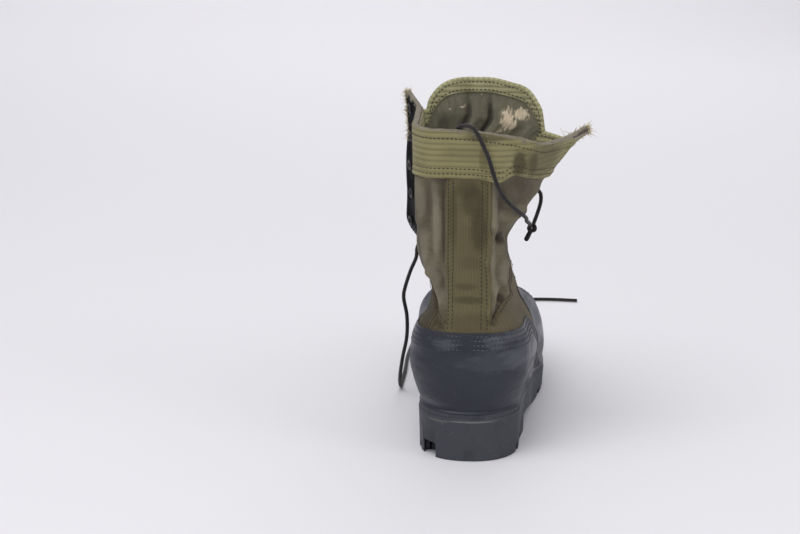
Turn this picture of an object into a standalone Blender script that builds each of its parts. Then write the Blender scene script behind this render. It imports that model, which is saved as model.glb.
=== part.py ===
"""Jungle boot for the right foot: moulded lug sole, leather vamp and counter, canvas shaft, webbing trim.

Metres, +Z up, toe towards +Y, the outer (lateral) side of the foot towards +X. The origin is the
middle of the heel's flat tread face. Run with: blender --background --python part.py
"""

import math
from collections import namedtuple

import bmesh
import bpy
from mathutils import Matrix, Vector
from mathutils.bvhtree import BVHTree

OUTER, INNER = 1, -1  # the two sides of the foot, as the sign of X
SIDE_NAMES = {OUTER: "outer", INNER: "inner"}

# Sizes of the last and of the upper on it
UPPER_LENGTH = 0.288  # heel to toe along the feather line
BALL_WIDTH = 0.098
HEEL_WIDTH = 0.0690
UPPER_HEIGHT = 0.211  # top of the collar above the sole, at the back seam
HEEL_SEAT = 0.034  # heel back to the origin
HALF_GIRTH = 0.130  # back seam to lacing edge, round one side of the shaft

# Sheet materials
CANVAS_WALL = 0.0022
LEATHER = 0.0018
WEBBING = 0.0013
FIT_GAP = 0.0003  # clearance between pieces that lie on each other
SEAM_GAP = 0.0006  # between the edges of neighbouring pieces on the upper

# Sole
HEEL_STACK = 0.0368
WAIST_STACK = 0.0300
BALL_STACK = 0.0195
TOE_STACK = 0.0190
TOE_SPRING = 0.0100
SHANK_RISE = 0.0130
HEEL_BLOCK = 0.070  # back of the heel to its breast
BREAST_SLOPE = 0.004
SOLE_MARGIN = 0.0040  # sole edge beyond the upper
SOLE_TAPER = 0.0010  # how much smaller the tread is than the sole's top, all round
RIM_HEIGHT = 0.0045
RIM_STEP = 0.0008
HEEL_LUG = 0.0095  # depth of the channels between lugs
FOREFOOT_LUG = 0.0055
HEEL_CHANNEL = 0.0090  # width of the channels between lugs
FOREFOOT_CHANNEL = 0.0070
CHANNEL_LEAN = 22  # degrees that the forefoot's side channels lean back
INSOLE_THICKNESS = 0.0040
INSOLE_MARGIN = 0.0012

# Trim on the upper
COUNTER_HEIGHT = 0.0632  # above the sole, at the back seam
BACKSTAY_WIDTH = 0.032
EYESTAY_WIDTH = 0.027

# Lacing
EYELET_PAIRS = 9
LACED_PAIRS = 4
EYELET_HOLE = 0.0028  # radius
EYELET_FLANGE = 0.0041
EYELET_BORE = 0.0017
EYELET_LIP = 0.0007
EYELET_INSET = 0.0095  # lacing edge to eyelet centre
VENT_HOLE = 0.0045
VENT_FLANGE = 0.0062
VENT_BORE = 0.0030
LACE_RADIUS = 0.0015
KNOT_RADIUS = 0.0038
KNOT_TAIL = 0.0110  # knot's middle to the tip of its short tail
LACE_STEP = 5 * LACE_RADIUS  # between the points of a cord
STRAND_GAP = 0.0008  # lacing edge to the end of a strand

# Tongue
TONGUE_THICKNESS = 0.0020
TONGUE_RISE = 0.027  # its top above the gusset
TONGUE_CLEARANCE = 0.0030  # behind the lacing edges
GUSSET_CLEARANCE = 0.0012  # to the inside of the upper, where the gusset is sewn to it
EYELET_CLEARANCE = 0.0024  # to the inside of the upper, where the eyelets come through

# The last from above. centre is in ball widths, the half widths are shares of heel and ball width.
Station = namedtuple("Station", "at centre outer_heel outer_ball inner_heel inner_ball")
STATIONS = (
    Station(0.00, 0.00, 0.50, 0.00, 0.50, 0.00),
    Station(0.14, 0.00, 0.50, 0.00, 0.50, 0.00),
    Station(0.30, 0.01, 0.44, 0.09, 0.42, 0.05),
    Station(0.45, 0.02, 0.22, 0.27, 0.20, 0.21),
    Station(0.62, 0.01, 0.00, 0.51, 0.00, 0.47),
    Station(0.73, -0.02, 0.00, 0.53, 0.00, 0.50),
    Station(0.86, -0.06, 0.00, 0.51, 0.00, 0.48),
    Station(1.00, -0.10, 0.00, 0.45, 0.00, 0.43),
)

# Rings round the upper, from the feather line to the collar. back and front are shares of the
# upper's length, back_h and front_h of its height, heel and ball scale the last's widths.
Ring = namedtuple("Ring", "at back back_h front front_h heel ball toe_round")
RINGS = (
    Ring(0.00, 0.000, 0.000, 1.000, 0.000, 1.00, 0.97, 0.20),
    Ring(0.09, -0.012, 0.085, 1.008, 0.060, 1.17, 1.01, 0.20),
    Ring(0.18, -0.016, 0.160, 1.000, 0.120, 1.26, 0.98, 0.21),
    Ring(0.28, -0.010, 0.235, 0.960, 0.172, 1.22, 0.88, 0.24),
    Ring(0.37, 0.004, 0.300, 0.885, 0.205, 1.08, 0.77, 0.28),
    Ring(0.46, 0.016, 0.350, 0.785, 0.234, 0.92, 0.68, 0.30),
    Ring(0.54, 0.022, 0.410, 0.700, 0.275, 0.84, 0.62, 0.30),
    Ring(0.62, 0.024, 0.480, 0.610, 0.355, 0.82, 0.58, 0.30),
    Ring(0.70, 0.024, 0.560, 0.530, 0.470, 0.82, 0.56, 0.30),
    Ring(0.80, 0.020, 0.690, 0.465, 0.640, 0.82, 0.56, 0.30),
    Ring(0.90, 0.012, 0.850, 0.440, 0.830, 0.82, 0.56, 0.30),
    Ring(1.00, 0.004, 1.000, 0.430, 1.000, 0.82, 0.56, 0.30),
)
THROAT = 0.60  # the ring where the lacing gap starts

# The slack shaft from above. Each side leaves the back seam, turns through turn degrees round a
# corner, and turns by flare once more at the eyestay. flat and corner are shares of the half girth.
Slack = namedtuple("Slack", "at flat outer_corner outer_turn outer_flare inner_corner inner_turn inner_flare")
SLACKS = (
    Slack(0.54, 0.06, 0.29, 94, 20, 0.34, 93, 10),
    Slack(0.62, 0.06, 0.26, 94, 22, 0.38, 92, -6),
    Slack(0.70, 0.06, 0.25, 94, 24, 0.41, 90, -20),
    Slack(0.76, 0.07, 0.26, 95, 30, 0.395, 91, -27),
    Slack(0.82, 0.08, 0.31, 91, 40, 0.39, 92, -27),
    Slack(0.87, 0.09, 0.34, 84, 46, 0.39, 92, -25),
    Slack(0.92, 0.09, 0.37, 75, 44, 0.38, 92, -24),
    Slack(0.97, 0.09, 0.40, 66, 20, 0.38, 91, -23),
    Slack(1.00, 0.09, 0.41, 61, 2, 0.38, 90, -22),
)
SHAFT_FROM, SHAFT_FULL = 0.51, 0.68  # rings over which the foot turns into the shaft, at the back
FRONT_LAG = 0.09  # how much later that happens at the lacing edge

# Height of the worn collar against a level one, as shares of the upper's height
Wave = namedtuple("Wave", "at outer inner")
COLLAR_WAVE = (
    Wave(0.00, 0.000, 0.000),
    Wave(0.25, -0.022, 0.004),
    Wave(0.50, -0.060, 0.004),
    Wave(0.75, -0.062, 0.026),
    Wave(1.00, -0.052, 0.062),
)
WAVE_FROM = 0.62

# Grid of the upper: rings, and places along one side from the back seam (0) to the front (1)
BACKSTAY_EDGE = BACKSTAY_WIDTH / 2 / HALF_GIRTH
EYESTAY_EDGE = 1 - EYESTAY_WIDTH / HALF_GIRTH
BAND_AT = 0.897
VAMP_AT = 0.62
RING_GRID = (0.0, 0.05, 0.10, 0.16, 0.22, 0.29, 0.36, 0.43, 0.50, 0.555, THROAT, VAMP_AT, 0.65, 0.68, 0.715,
             0.75, 0.80, 0.85, BAND_AT, 0.95, 1.0)
SIDE_GRID = (0.0, BACKSTAY_EDGE / 2, BACKSTAY_EDGE, 0.19, 0.26, 0.33, 0.40, 0.47, 0.54, 0.61, 0.67, 0.73,
             EYESTAY_EDGE, EYESTAY_EDGE + (1 - EYESTAY_EDGE) / 3, 1 - (1 - EYESTAY_EDGE) / 3, 1.0)
BACKSTAY_COLUMNS = 2
EYESTAY_COLUMNS = 3
SEAT_STEP, SEAT_REACH = 0.01, 0.010  # how far round itself a fitting feels for the surface
EDGE_STEPS = 48  # stretches of the lacing edge that its length is measured in

# Tongue from above: share of the way from the inner attachment (-1) to the outer one (1)
TONGUE_GRID = (-1.0, -0.88, -0.64, -0.38, -0.12, 0.14, 0.40, 0.66, 0.84, 1.0)
TONGUE_BODY = range(1, 8)  # the columns that stand above the gusset
TONGUE_RINGS = (0.57, THROAT, VAMP_AT, 0.65, 0.68, 0.715, 0.75, 0.80, 0.85, BAND_AT, 0.945, 0.985)
TONGUE_ROWS = (0.25, 0.5, 0.75, 1.0)  # shares of the rise

# Fittings
FIRST_EYELET = 0.0245  # throat to the lowest pair, along the lacing edge
LAST_EYELET = 0.010  # highest pair to the collar
Vent = namedtuple("Vent", "at place")
VENTS = (Vent(0.105, 0.455), Vent(0.105, 0.520))

# Channels between the lugs: at is a share of the upper's length, x and reach are shares of the ball
# width, turn is in degrees from straight across
Channel = namedtuple("Channel", "at x reach turn width depth")
HEEL_CHANNELS = (
    Channel(-0.005, -0.300, 0.24, 78, HEEL_CHANNEL, HEEL_LUG),
    Channel(0.085, -0.400, 0.22, 0, HEEL_CHANNEL * 0.7, HEEL_LUG * 0.7),
    Channel(0.170, -0.400, 0.22, 0, HEEL_CHANNEL * 0.7, HEEL_LUG * 0.7),
    Channel(0.085, 0.400, 0.22, 0, HEEL_CHANNEL * 0.7, HEEL_LUG * 0.7),
    Channel(0.170, 0.400, 0.22, 0, HEEL_CHANNEL * 0.7, HEEL_LUG * 0.7),
    Channel(0.150, 0.000, 0.26, 0, HEEL_CHANNEL * 0.5, HEEL_LUG * 0.5),
)
FOREFOOT_CHANNEL_ROWS = (0.555, 0.630, 0.705, 0.780, 0.855)
FOREFOOT_PLUGS = (0.595, 0.670, 0.745, 0.820)


def clamp(x):
    return min(1.0, max(0.0, x))


def smooth(low, high, x):
    """0 below low, 1 above high, and an even S between them."""
    t = clamp((x - low) / (high - low))
    return t * t * (3 - 2 * t)


def mix(a, b, t):
    return a + (b - a) * t


def column(table, name, x):
    """The column's smooth value at x, through every row of the table."""
    xs = [row.at for row in table]
    ys = [getattr(row, name) for row in table]
    if x <= xs[0]:
        return ys[0]
    if x >= xs[-1]:
        return ys[-1]
    i = max(k for k in range(len(xs) - 1) if xs[k] <= x)

    def slope(k):
        if k in (0, len(xs) - 1):
            return 0.0 if k == 0 else (ys[k] - ys[k - 1]) / (xs[k] - xs[k - 1])
        before = (ys[k] - ys[k - 1]) / (xs[k] - xs[k - 1])
        after = (ys[k + 1] - ys[k]) / (xs[k + 1] - xs[k])
        return 0.0 if before * after <= 0 else 2 * before * after / (before + after)

    step = xs[i + 1] - xs[i]
    t = (x - xs[i]) / step
    return (ys[i] * (1 + 2 * t) * (1 - t) ** 2 + ys[i + 1] * t * t * (3 - 2 * t)
            + slope(i) * step * t * (1 - t) ** 2 - slope(i + 1) * step * t * t * (1 - t))


def along(share):
    """Y of a place given as a share of the upper's length."""
    return share * UPPER_LENGTH - HEEL_SEAT


Level = namedtuple("Level", "at height")


def sole_height(y):
    """Smooth height of the sole's upper face."""
    levels = (
        Level(0.00, HEEL_STACK),
        Level(0.24, HEEL_STACK),
        Level(0.44, WAIST_STACK),
        Level(0.64, BALL_STACK),
        Level(0.78, BALL_STACK),
        Level(1.00, TOE_STACK + TOE_SPRING),
    )
    return column(levels, "height", (y + HEEL_SEAT) / UPPER_LENGTH)


def feather_line():
    """Y of each point of the upper's lowest ring, from the back to the toe."""
    return [mix(along(0.0), along(1.0), (1 - math.cos(math.pi * place)) / 2) for place in SIDE_GRID]


def sole_top(y):
    """The sole's upper face, flat between the points of the feather line that stands on it."""
    ys = feather_line()
    for low, high in zip(ys, ys[1:]):
        if low <= y <= high:
            return mix(sole_height(low), sole_height(high), (y - low) / (high - low))
    return sole_height(y)


def sole_bottom(y):
    """The tread's plane under heel and forefoot, with the shank arched and the toe sprung."""
    breast = along(0.0) - SOLE_MARGIN + HEEL_BLOCK
    shank = SHANK_RISE * smooth(breast, breast + BREAST_SLOPE, y) * (1 - smooth(along(0.27), along(0.52), y))
    toe = clamp((y - along(0.78)) / (along(1.0) - along(0.78)))
    return shank + TOE_SPRING * toe * toe


def end_round(distance, length):
    """Share of full width left at this distance from an elliptic end."""
    q = 1 - clamp(distance / length)
    return max(0.0, 1 - q ** 2.2) ** (1 / 2.2)


def last_edge(side, y, back, front, heel_scale, ball_scale, toe_round, margin=0.0):
    """X of the last's outline at y, for an outline that runs from back to front."""
    share = (y + HEEL_SEAT) / UPPER_LENGTH
    name = SIDE_NAMES[side]
    half = (column(STATIONS, name + "_heel", share) * HEEL_WIDTH
            + column(STATIONS, name + "_ball", share) * BALL_WIDTH)
    half = half * mix(heel_scale, ball_scale, smooth(0.15, 0.60, share)) + margin
    ends = end_round(y - back, HEEL_WIDTH * 0.56) * end_round(front - y, toe_round * UPPER_LENGTH)
    return column(STATIONS, "centre", share) * BALL_WIDTH + side * half * ends


def lacing_gap(at):
    """Half the opening between the lacing edges of the closed foot's rings."""
    return 0.011 * smooth(THROAT, THROAT + 0.05, at)


def foot_point(side, at, place):
    """A point of the foot's ring in plan, place 0 at the back seam and 1 at the front."""
    ring = {name: column(RINGS, name, at) for name in Ring._fields[1:]}
    back, front = along(ring["back"]), along(ring["front"])
    y = mix(back, front, (1 - math.cos(math.pi * place)) / 2)
    x = last_edge(side, y, back, front, ring["heel"], ring["ball"], ring["toe_round"])
    return x + side * lacing_gap(at) * place ** 4, y


def shaft_point(side, at, place, steps=36):
    """A point of the slack shaft's ring in plan, walked from the back seam along the canvas."""
    name = SIDE_NAMES[side]
    row = {key: column(SLACKS, key, at) for key in Slack._fields[1:]}
    turn, flare = math.radians(row[name + "_turn"]), math.radians(row[name + "_flare"])
    corner = row[name + "_corner"]
    x, y = 0.0, along(column(RINGS, "back", at))
    count = max(1, round(steps * place))
    for i in range(count):
        s = place * (i + 0.5) / count
        heading = (turn * smooth(row["flat"], row["flat"] + corner, s)
                   + flare * smooth(EYESTAY_EDGE - 0.09, EYESTAY_EDGE + 0.04, s))
        x += math.cos(heading) * HALF_GIRTH * place / count
        y += math.sin(heading) * HALF_GIRTH * place / count
    return side * x, y


def skin_point(side, at, place):
    """The upper's outside: at runs from the feather line (0) to the collar (1)."""
    t = smooth(SHAFT_FROM + FRONT_LAG * place, SHAFT_FULL + FRONT_LAG * place, at)
    fx, fy = foot_point(side, at, place) if t < 1 else (0.0, 0.0)
    sx, sy = shaft_point(side, at, place) if t > 0 else (0.0, 0.0)
    x, y = mix(fx, sx, t), mix(fy, sy, t)
    rise = (1 - math.cos(math.pi * place)) / 2
    height = mix(column(RINGS, "back_h", at), column(RINGS, "front_h", at), rise)
    wave = column(COLLAR_WAVE, SIDE_NAMES[side], place)
    height += wave * smooth(WAVE_FROM, 1.0, at)
    return Vector((x, y, mix(sole_top(y) + FIT_GAP, HEEL_STACK, at) + height * UPPER_HEIGHT))


def material(name, colour, roughness, metallic=0.0):
    made = bpy.data.materials.new(name)
    made.use_nodes = True
    shader = made.node_tree.nodes["Principled BSDF"]
    shader.inputs["Base Color"].default_value = (*colour, 1.0)
    shader.inputs["Roughness"].default_value = roughness
    shader.inputs["Metallic"].default_value = metallic
    return made


def add_object(name, mesh_maker, finish):
    """Links one piece whose mesh is filled by mesh_maker, shaded smooth up to its sharp edges."""
    bm = bmesh.new()
    mesh_maker(bm)
    mesh = bpy.data.meshes.new(name)
    bm.to_mesh(mesh)
    bm.free()
    mesh.materials.append(finish)
    mesh.shade_smooth()
    mesh.set_sharp_from_angle(angle=math.radians(40))
    piece = bpy.data.objects.new(name, mesh)
    bpy.context.scene.collection.objects.link(piece)
    return piece


def combine(piece, other, operation):
    """Cuts other out of piece, or joins it on, and keeps other out of sight."""
    other.hide_render = True
    other.display_type = "WIRE"
    step = piece.modifiers.new(operation.lower(), "BOOLEAN")
    step.operation = operation
    step.solver = "EXACT"
    step.object = other


def close_fan(bm, rings):
    """Joins closed rings of points in turn and closes both ends."""
    for low, high in zip(rings, rings[1:]):
        for i in range(len(low)):
            j = (i + 1) % len(low)
            bm.faces.new((low[i], low[j], high[j], high[i]))
    bm.faces.new(list(reversed(rings[0])))
    bm.faces.new(rings[-1])


class Skin:
    """The upper's outside as one grid, with a normal at each point. Columns run from the inner
    side's front edge (0), round the back seam, to the outer side's front edge (last)."""

    def __init__(self):
        self.rings = RING_GRID
        self.columns = [(INNER, a) for a in reversed(SIDE_GRID)] + [(OUTER, a) for a in SIDE_GRID[1:]]
        self.last = len(self.columns) - 1
        self.middle = len(SIDE_GRID) - 1
        self.points = [[skin_point(side, at, place) for side, place in self.columns] for at in self.rings]
        for row, at in zip(self.points, self.rings):
            if at <= THROAT:
                row[-1] = row[0] = (row[0] + row[-1]) / 2
        self.normals = [[Vector() for _ in row] for row in self.points]
        bm = bmesh.new()
        grid = self.patch(bm, range(len(self.rings)), range(self.last + 1), 0.0)
        bm.normal_update()
        self.normals = [[v.normal.copy() for v in row] for row in grid]
        bm.free()
        for normal in self.normals[0]:
            normal.z = 0.0
            normal.normalize()
        self.outside = self.surface(FIT_GAP + LEATHER)
        self.inside = self.surface(-CANVAS_WALL)

    def patch(self, bm, rings, columns, offset, inset=0.0):
        """Adds the faces between these rings and columns to bm, moved out by offset, with the
        patch's own edges drawn in by inset. Each is two triangles, alike in every layer."""
        wraps = columns[0] == 0 and columns[-1] == self.last
        points = [[self.points[r][c] + self.normals[r][c] * offset for c in columns] for r in rings]
        for row, r in zip(points, rings):
            if not (wraps and self.rings[r] <= THROAT):
                row[0] += (row[1] - row[0]).normalized() * inset
                row[-1] += (row[-2] - row[-1]).normalized() * inset
        for edge, inner in ((0, 1), (-1, -2)):
            points[edge] = [p + (q - p).normalized() * inset for p, q in zip(points[edge], points[inner])]
        grid = [[bm.verts.new(p) for p in row] for row in points]
        for row, r in zip(grid, rings):
            if wraps and self.rings[r] <= THROAT:
                bm.verts.remove(row[-1])
                row[-1] = row[0]
        for low, high in zip(grid, grid[1:]):
            for i in range(len(columns) - 1):
                bm.faces.new((low[i], low[i + 1], high[i + 1]))
                bm.faces.new((low[i], high[i + 1], high[i]))
        return grid

    def slab(self, bm, rings, columns, low, high, inset=0.0):
        """Adds the closed wall between these rings and columns that runs from low to high."""
        outer = self.patch(bm, rings, columns, high, inset)
        rim = [edge.link_loops[0] for edge in bm.edges if edge.is_boundary]
        rim = [(loop.link_loop_next.vert, loop.vert) for loop in rim]
        count = len(bm.faces)
        inner = self.patch(bm, rings, columns, low, inset)
        bm.faces.ensure_lookup_table()
        bmesh.ops.reverse_faces(bm, faces=bm.faces[count:])
        below = {a: b for pair in zip(outer, inner) for a, b in zip(*pair)}
        for a, b in rim:
            if a.co.z < b.co.z:
                bm.faces.new((a, b, below[b]))
                bm.faces.new((a, below[b], below[a]))
            else:
                bm.faces.new((a, b, below[a]))
                bm.faces.new((b, below[b], below[a]))

    def pushed_in(self, point, room):
        """The point, moved to lie at least this far inside the upper's wall."""
        found, normal = self.inside.find_nearest(point)[:2]
        depth = (found - point).dot(normal)
        near = (found - point).length < SEAT_REACH
        return point - normal * (room - depth) if near and depth < room else point

    def pushed_out(self, point, room):
        """The point, moved to lie at least this far outside the leather's face."""
        found, normal = self.outside.find_nearest(point)[:2]
        height = (point - found).dot(normal)
        return point + normal * (room - height) if height < room else point

    def surface(self, offset):
        """The whole grid's faces moved out by offset, to measure on."""
        bm = bmesh.new()
        self.patch(bm, range(len(self.rings)), range(self.last + 1), offset)
        bm.normal_update()
        tree = BVHTree.FromBMesh(bm)
        bm.free()
        return tree

    def seat(self, side, at, place, flange, hole):
        """Where a round fitting sits: a point on the skin, the way out, and how far from it the
        leather's outside reaches under the flange and the canvas's inside round the hole."""
        point = skin_point(side, at, place)
        across = skin_point(side, at, place + SEAT_STEP) - skin_point(side, at, place - SEAT_STEP)
        upwards = skin_point(side, at + SEAT_STEP, place) - skin_point(side, at - SEAT_STEP, place)
        out = (across.cross(upwards) * side).normalized()
        turned = out.to_track_quat("Z", "Y").to_matrix()

        def heights(tree, radius):
            around = (Vector((radius * math.cos(a), radius * math.sin(a), 0.0))
                      for a in (math.pi * k / 8 for k in range(16)))
            spots = [point] + [point + turned @ spot for spot in around]
            hits = [tree.ray_cast(spot + out * SEAT_REACH, -out, 2 * SEAT_REACH)[0] for spot in spots]
            return [(hit - point).dot(out) for hit in hits if hit]

        return point, out, max(heights(self.outside, flange)), min(heights(self.inside, hole))


def trim(bm, point, normal):
    """Cuts away everything on the side that normal points to, and closes the cut."""
    geometry = bm.verts[:] + bm.edges[:] + bm.faces[:]
    cut = bmesh.ops.bisect_plane(bm, geom=geometry, plane_co=point, plane_no=normal, clear_outer=True)
    bmesh.ops.edgenet_fill(bm, edges=[e for e in cut["geom_cut"] if isinstance(e, bmesh.types.BMEdge)])
    bmesh.ops.recalc_face_normals(bm, faces=bm.faces)


def left_of(y1, z1, y2, z2):
    """The plane that cuts away what lies left of the line from (y1, z1) to (y2, z2), seen from +X,
    and leaves half the seam gap to the line."""
    normal = Vector((0.0, z1 - z2, y2 - y1)).normalized()
    return Vector((0.0, y1, z1)) - normal * SEAM_GAP / 2, normal


def right_of(y1, z1, y2, z2):
    return left_of(y2, z2, y1, z1)


# Edges of leather and webbing, as lines seen from the side (y, z)
COUNTER_TOP_Z = HEEL_STACK + COUNTER_HEIGHT
COUNTER_TOP = (along(-0.10), COUNTER_TOP_Z + 0.0005, along(0.22), COUNTER_TOP_Z - 0.0055)
COUNTER_SLOPE = (along(0.22), COUNTER_TOP_Z - 0.0055, along(0.39), HEEL_STACK + 0.026)
LEATHER_SEAM = (along(0.39), 0.0, along(0.39), HEEL_STACK)
VAMP_SLOPE = (along(0.39), HEEL_STACK + 0.024, along(0.50), HEEL_STACK + 0.100)
BAND_TOP = (along(0.03), COUNTER_TOP_Z + 0.010, along(0.44), HEEL_STACK + 0.116)

Sheet = namedtuple("Sheet", "name rings columns edges thickness finish")


def upper_sheets(skin):
    """Each leather or webbing piece on the upper, as a stretch of the upper's grid and its edges."""
    def rings(low, high):
        return range(RING_GRID.index(low), RING_GRID.index(high) + 1)

    inner_stay = range(EYESTAY_COLUMNS + 1)
    outer_stay = range(skin.last - EYESTAY_COLUMNS, skin.last + 1)
    inner_quarter = range(EYESTAY_COLUMNS, skin.middle - BACKSTAY_COLUMNS + 1)
    outer_quarter = range(skin.middle + BACKSTAY_COLUMNS, skin.last - EYESTAY_COLUMNS + 1)
    quarters = range(EYESTAY_COLUMNS, skin.last - EYESTAY_COLUMNS + 1)
    backstay = range(skin.middle - BACKSTAY_COLUMNS, skin.middle + BACKSTAY_COLUMNS + 1)
    over_ankle = (right_of(*COUNTER_TOP), right_of(*VAMP_SLOPE), left_of(*BAND_TOP))
    return (
        Sheet("counter", rings(0.0, 0.50), quarters,
              (left_of(*COUNTER_TOP), left_of(*COUNTER_SLOPE), right_of(*LEATHER_SEAM)), LEATHER, "black leather"),
        Sheet("vamp", rings(0.0, VAMP_AT), range(skin.last + 1),
              (left_of(*LEATHER_SEAM), left_of(*VAMP_SLOPE)), LEATHER, "black leather"),
        Sheet("eyestay_inner", rings(VAMP_AT, 1.0), inner_stay, (), LEATHER, "black leather"),
        Sheet("eyestay_outer", rings(VAMP_AT, 1.0), outer_stay, (), LEATHER, "black leather"),
        Sheet("backstay", rings(0.29, BAND_AT), backstay, (right_of(*COUNTER_TOP),), WEBBING, "olive webbing"),
        Sheet("ankle_band_inner", rings(0.22, 0.75), inner_quarter, over_ankle, WEBBING, "olive webbing"),
        Sheet("ankle_band_outer", rings(0.22, 0.75), outer_quarter, over_ankle, WEBBING, "olive webbing"),
        Sheet("collar_band", rings(BAND_AT, 1.0), quarters, (), WEBBING, "olive webbing"),
    )


def make_upper(skin, finishes):
    """The hollow upper and the leather and webbing pieces stitched on it."""
    def wall(bm):
        skin.slab(bm, range(len(RING_GRID)), range(skin.last + 1), -CANVAS_WALL, 0.0)

    pieces = {"upper": add_object("upper", wall, finishes["canvas"])}
    for sheet in upper_sheets(skin):
        def cloth(bm, sheet=sheet):
            skin.slab(bm, sheet.rings, sheet.columns, FIT_GAP, FIT_GAP + sheet.thickness, SEAM_GAP / 2)
            for point, normal in sheet.edges:
                trim(bm, point, normal)
        pieces[sheet.name] = add_object(sheet.name, cloth, finishes[sheet.finish])
    return pieces


def outline_stack(bm, stations, layers):
    """A closed solid of outlines laid over each other. Stations are y along the feather line's
    frame, and each layer is its margin outside the feather line and its height at a y."""
    rings = []
    for margin, height in layers:
        back, front = along(0.0) - margin, along(1.0) + margin
        sides = {}
        for side in (INNER, OUTER):
            sides[side] = []
            for y in stations:
                moved = mix(back, front, (y - stations[0]) / (stations[-1] - stations[0]))
                x = last_edge(side, moved, back, front, 1.0, 0.97, 0.20, margin)
                sides[side].append(bm.verts.new((x, moved, height(y))))
        for end in (0, -1):
            sides[OUTER][end].co.x = (sides[OUTER][end].co.x + sides[INNER][end].co.x) / 2
            bm.verts.remove(sides[INNER][end])
            sides[INNER][end] = sides[OUTER][end]
        rings.append(sides)
    for low, high in zip(rings, rings[1:]):
        for side, turn in ((OUTER, 1), (INNER, -1)):
            for i in range(len(stations) - 1):
                face = (low[side][i], low[side][i + 1], high[side][i + 1], high[side][i])
                bm.faces.new(face[::turn])
    for ring, turn in ((rings[0], 1), (rings[-1], -1)):
        for i in range(len(stations) - 1):
            corners = [ring[INNER][i], ring[INNER][i + 1], ring[OUTER][i + 1], ring[OUTER][i]]
            corners = [v for k, v in enumerate(corners) if v not in corners[:k]]
            bm.faces.new(corners[::turn])


def make_outsole(finishes):
    breast = along(0.0) - SOLE_MARGIN + HEEL_BLOCK
    stations = [along(0.0) - SOLE_MARGIN, along(0.0) - SOLE_MARGIN * 0.8, *feather_line(),
                breast, breast + BREAST_SLOPE, along(1.0) + SOLE_MARGIN * 0.8, along(1.0) + SOLE_MARGIN]

    def body(bm):
        outline_stack(bm, sorted(stations), (
            (SOLE_MARGIN - SOLE_TAPER, sole_bottom),
            (SOLE_MARGIN, lambda y: sole_top(y) - RIM_HEIGHT),
            (SOLE_MARGIN - RIM_STEP, lambda y: sole_top(y) - RIM_HEIGHT),
            (SOLE_MARGIN - RIM_STEP, sole_top),
        ))

    def channels(bm):
        rows = list(HEEL_CHANNELS)
        for at in FOREFOOT_CHANNEL_ROWS:
            for side in (INNER, OUTER):
                rows.append(Channel(at, side * 0.46, 0.34, -side * CHANNEL_LEAN, FOREFOOT_CHANNEL, FOREFOOT_LUG))
        rows += [Channel(at, 0.0, 0.22, 0, FOREFOOT_CHANNEL * 0.6, FOREFOOT_LUG) for at in FOREFOOT_PLUGS]
        for row in rows:
            y = along(row.at)
            centre = Vector((column(STATIONS, "centre", row.at) * BALL_WIDTH + row.x * BALL_WIDTH, y, sole_bottom(y)))
            size = Matrix.Diagonal((row.reach * BALL_WIDTH, row.width, 2 * row.depth, 1.0))
            place = Matrix.Translation(centre) @ Matrix.Rotation(math.radians(row.turn), 4, "Z") @ size
            bmesh.ops.create_cube(bm, size=1.0, matrix=place)

    outsole = add_object("outsole", body, finishes["rubber"])
    combine(outsole, add_object("tread_channels", channels, finishes["rubber"]), "DIFFERENCE")


def make_insole(finishes):
    def board(bm):
        margin = -(CANVAS_WALL + INSOLE_MARGIN)
        outline_stack(bm, feather_line(), (
            (margin, lambda y: sole_top(y) + FIT_GAP),
            (margin, lambda y: sole_top(y) + FIT_GAP + INSOLE_THICKNESS),
        ))

    add_object("insole", board, finishes["insole"])


def lacing_middle(at, lift):
    """The point midway between the lacing edges, moved ahead by lift, square to the opening."""
    def halfway(ring):
        return (skin_point(INNER, ring, 1.0) + skin_point(OUTER, ring, 1.0)) / 2

    chord = skin_point(OUTER, at, EYESTAY_EDGE) - skin_point(INNER, at, EYESTAY_EDGE)
    upwards = halfway(min(1.0, at + SEAT_STEP)) - halfway(at - SEAT_STEP)
    return halfway(at) + upwards.cross(chord).normalized() * lift


def tongue_point(skin, at, share):
    """The tongue's outer face: behind the eyestays it follows the lacing edges, and it spans from
    one side's attachment to the other, clear of the inside of the upper."""
    ends = []
    for side in (INNER, OUTER):
        point = skin_point(side, at, EYESTAY_EDGE)
        found, normal = skin.inside.find_nearest(point)[:2]
        ends.append(found - normal * GUSSET_CLEARANCE)
    open_shaft = smooth(0.72, 0.95, at)
    reach = lacing_middle(at, -CANVAS_WALL - TONGUE_CLEARANCE) - (ends[0] + ends[1]) / 2
    reach *= mix(1.0, 0.72, open_shaft)
    point = ends[0].lerp(ends[1], (share + 1) / 2) + reach * (1 - abs(share) ** mix(2.1, 2.6, open_shaft))
    return skin.pushed_in(point, GUSSET_CLEARANCE if abs(share) == 1 else EYELET_CLEARANCE)


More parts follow.
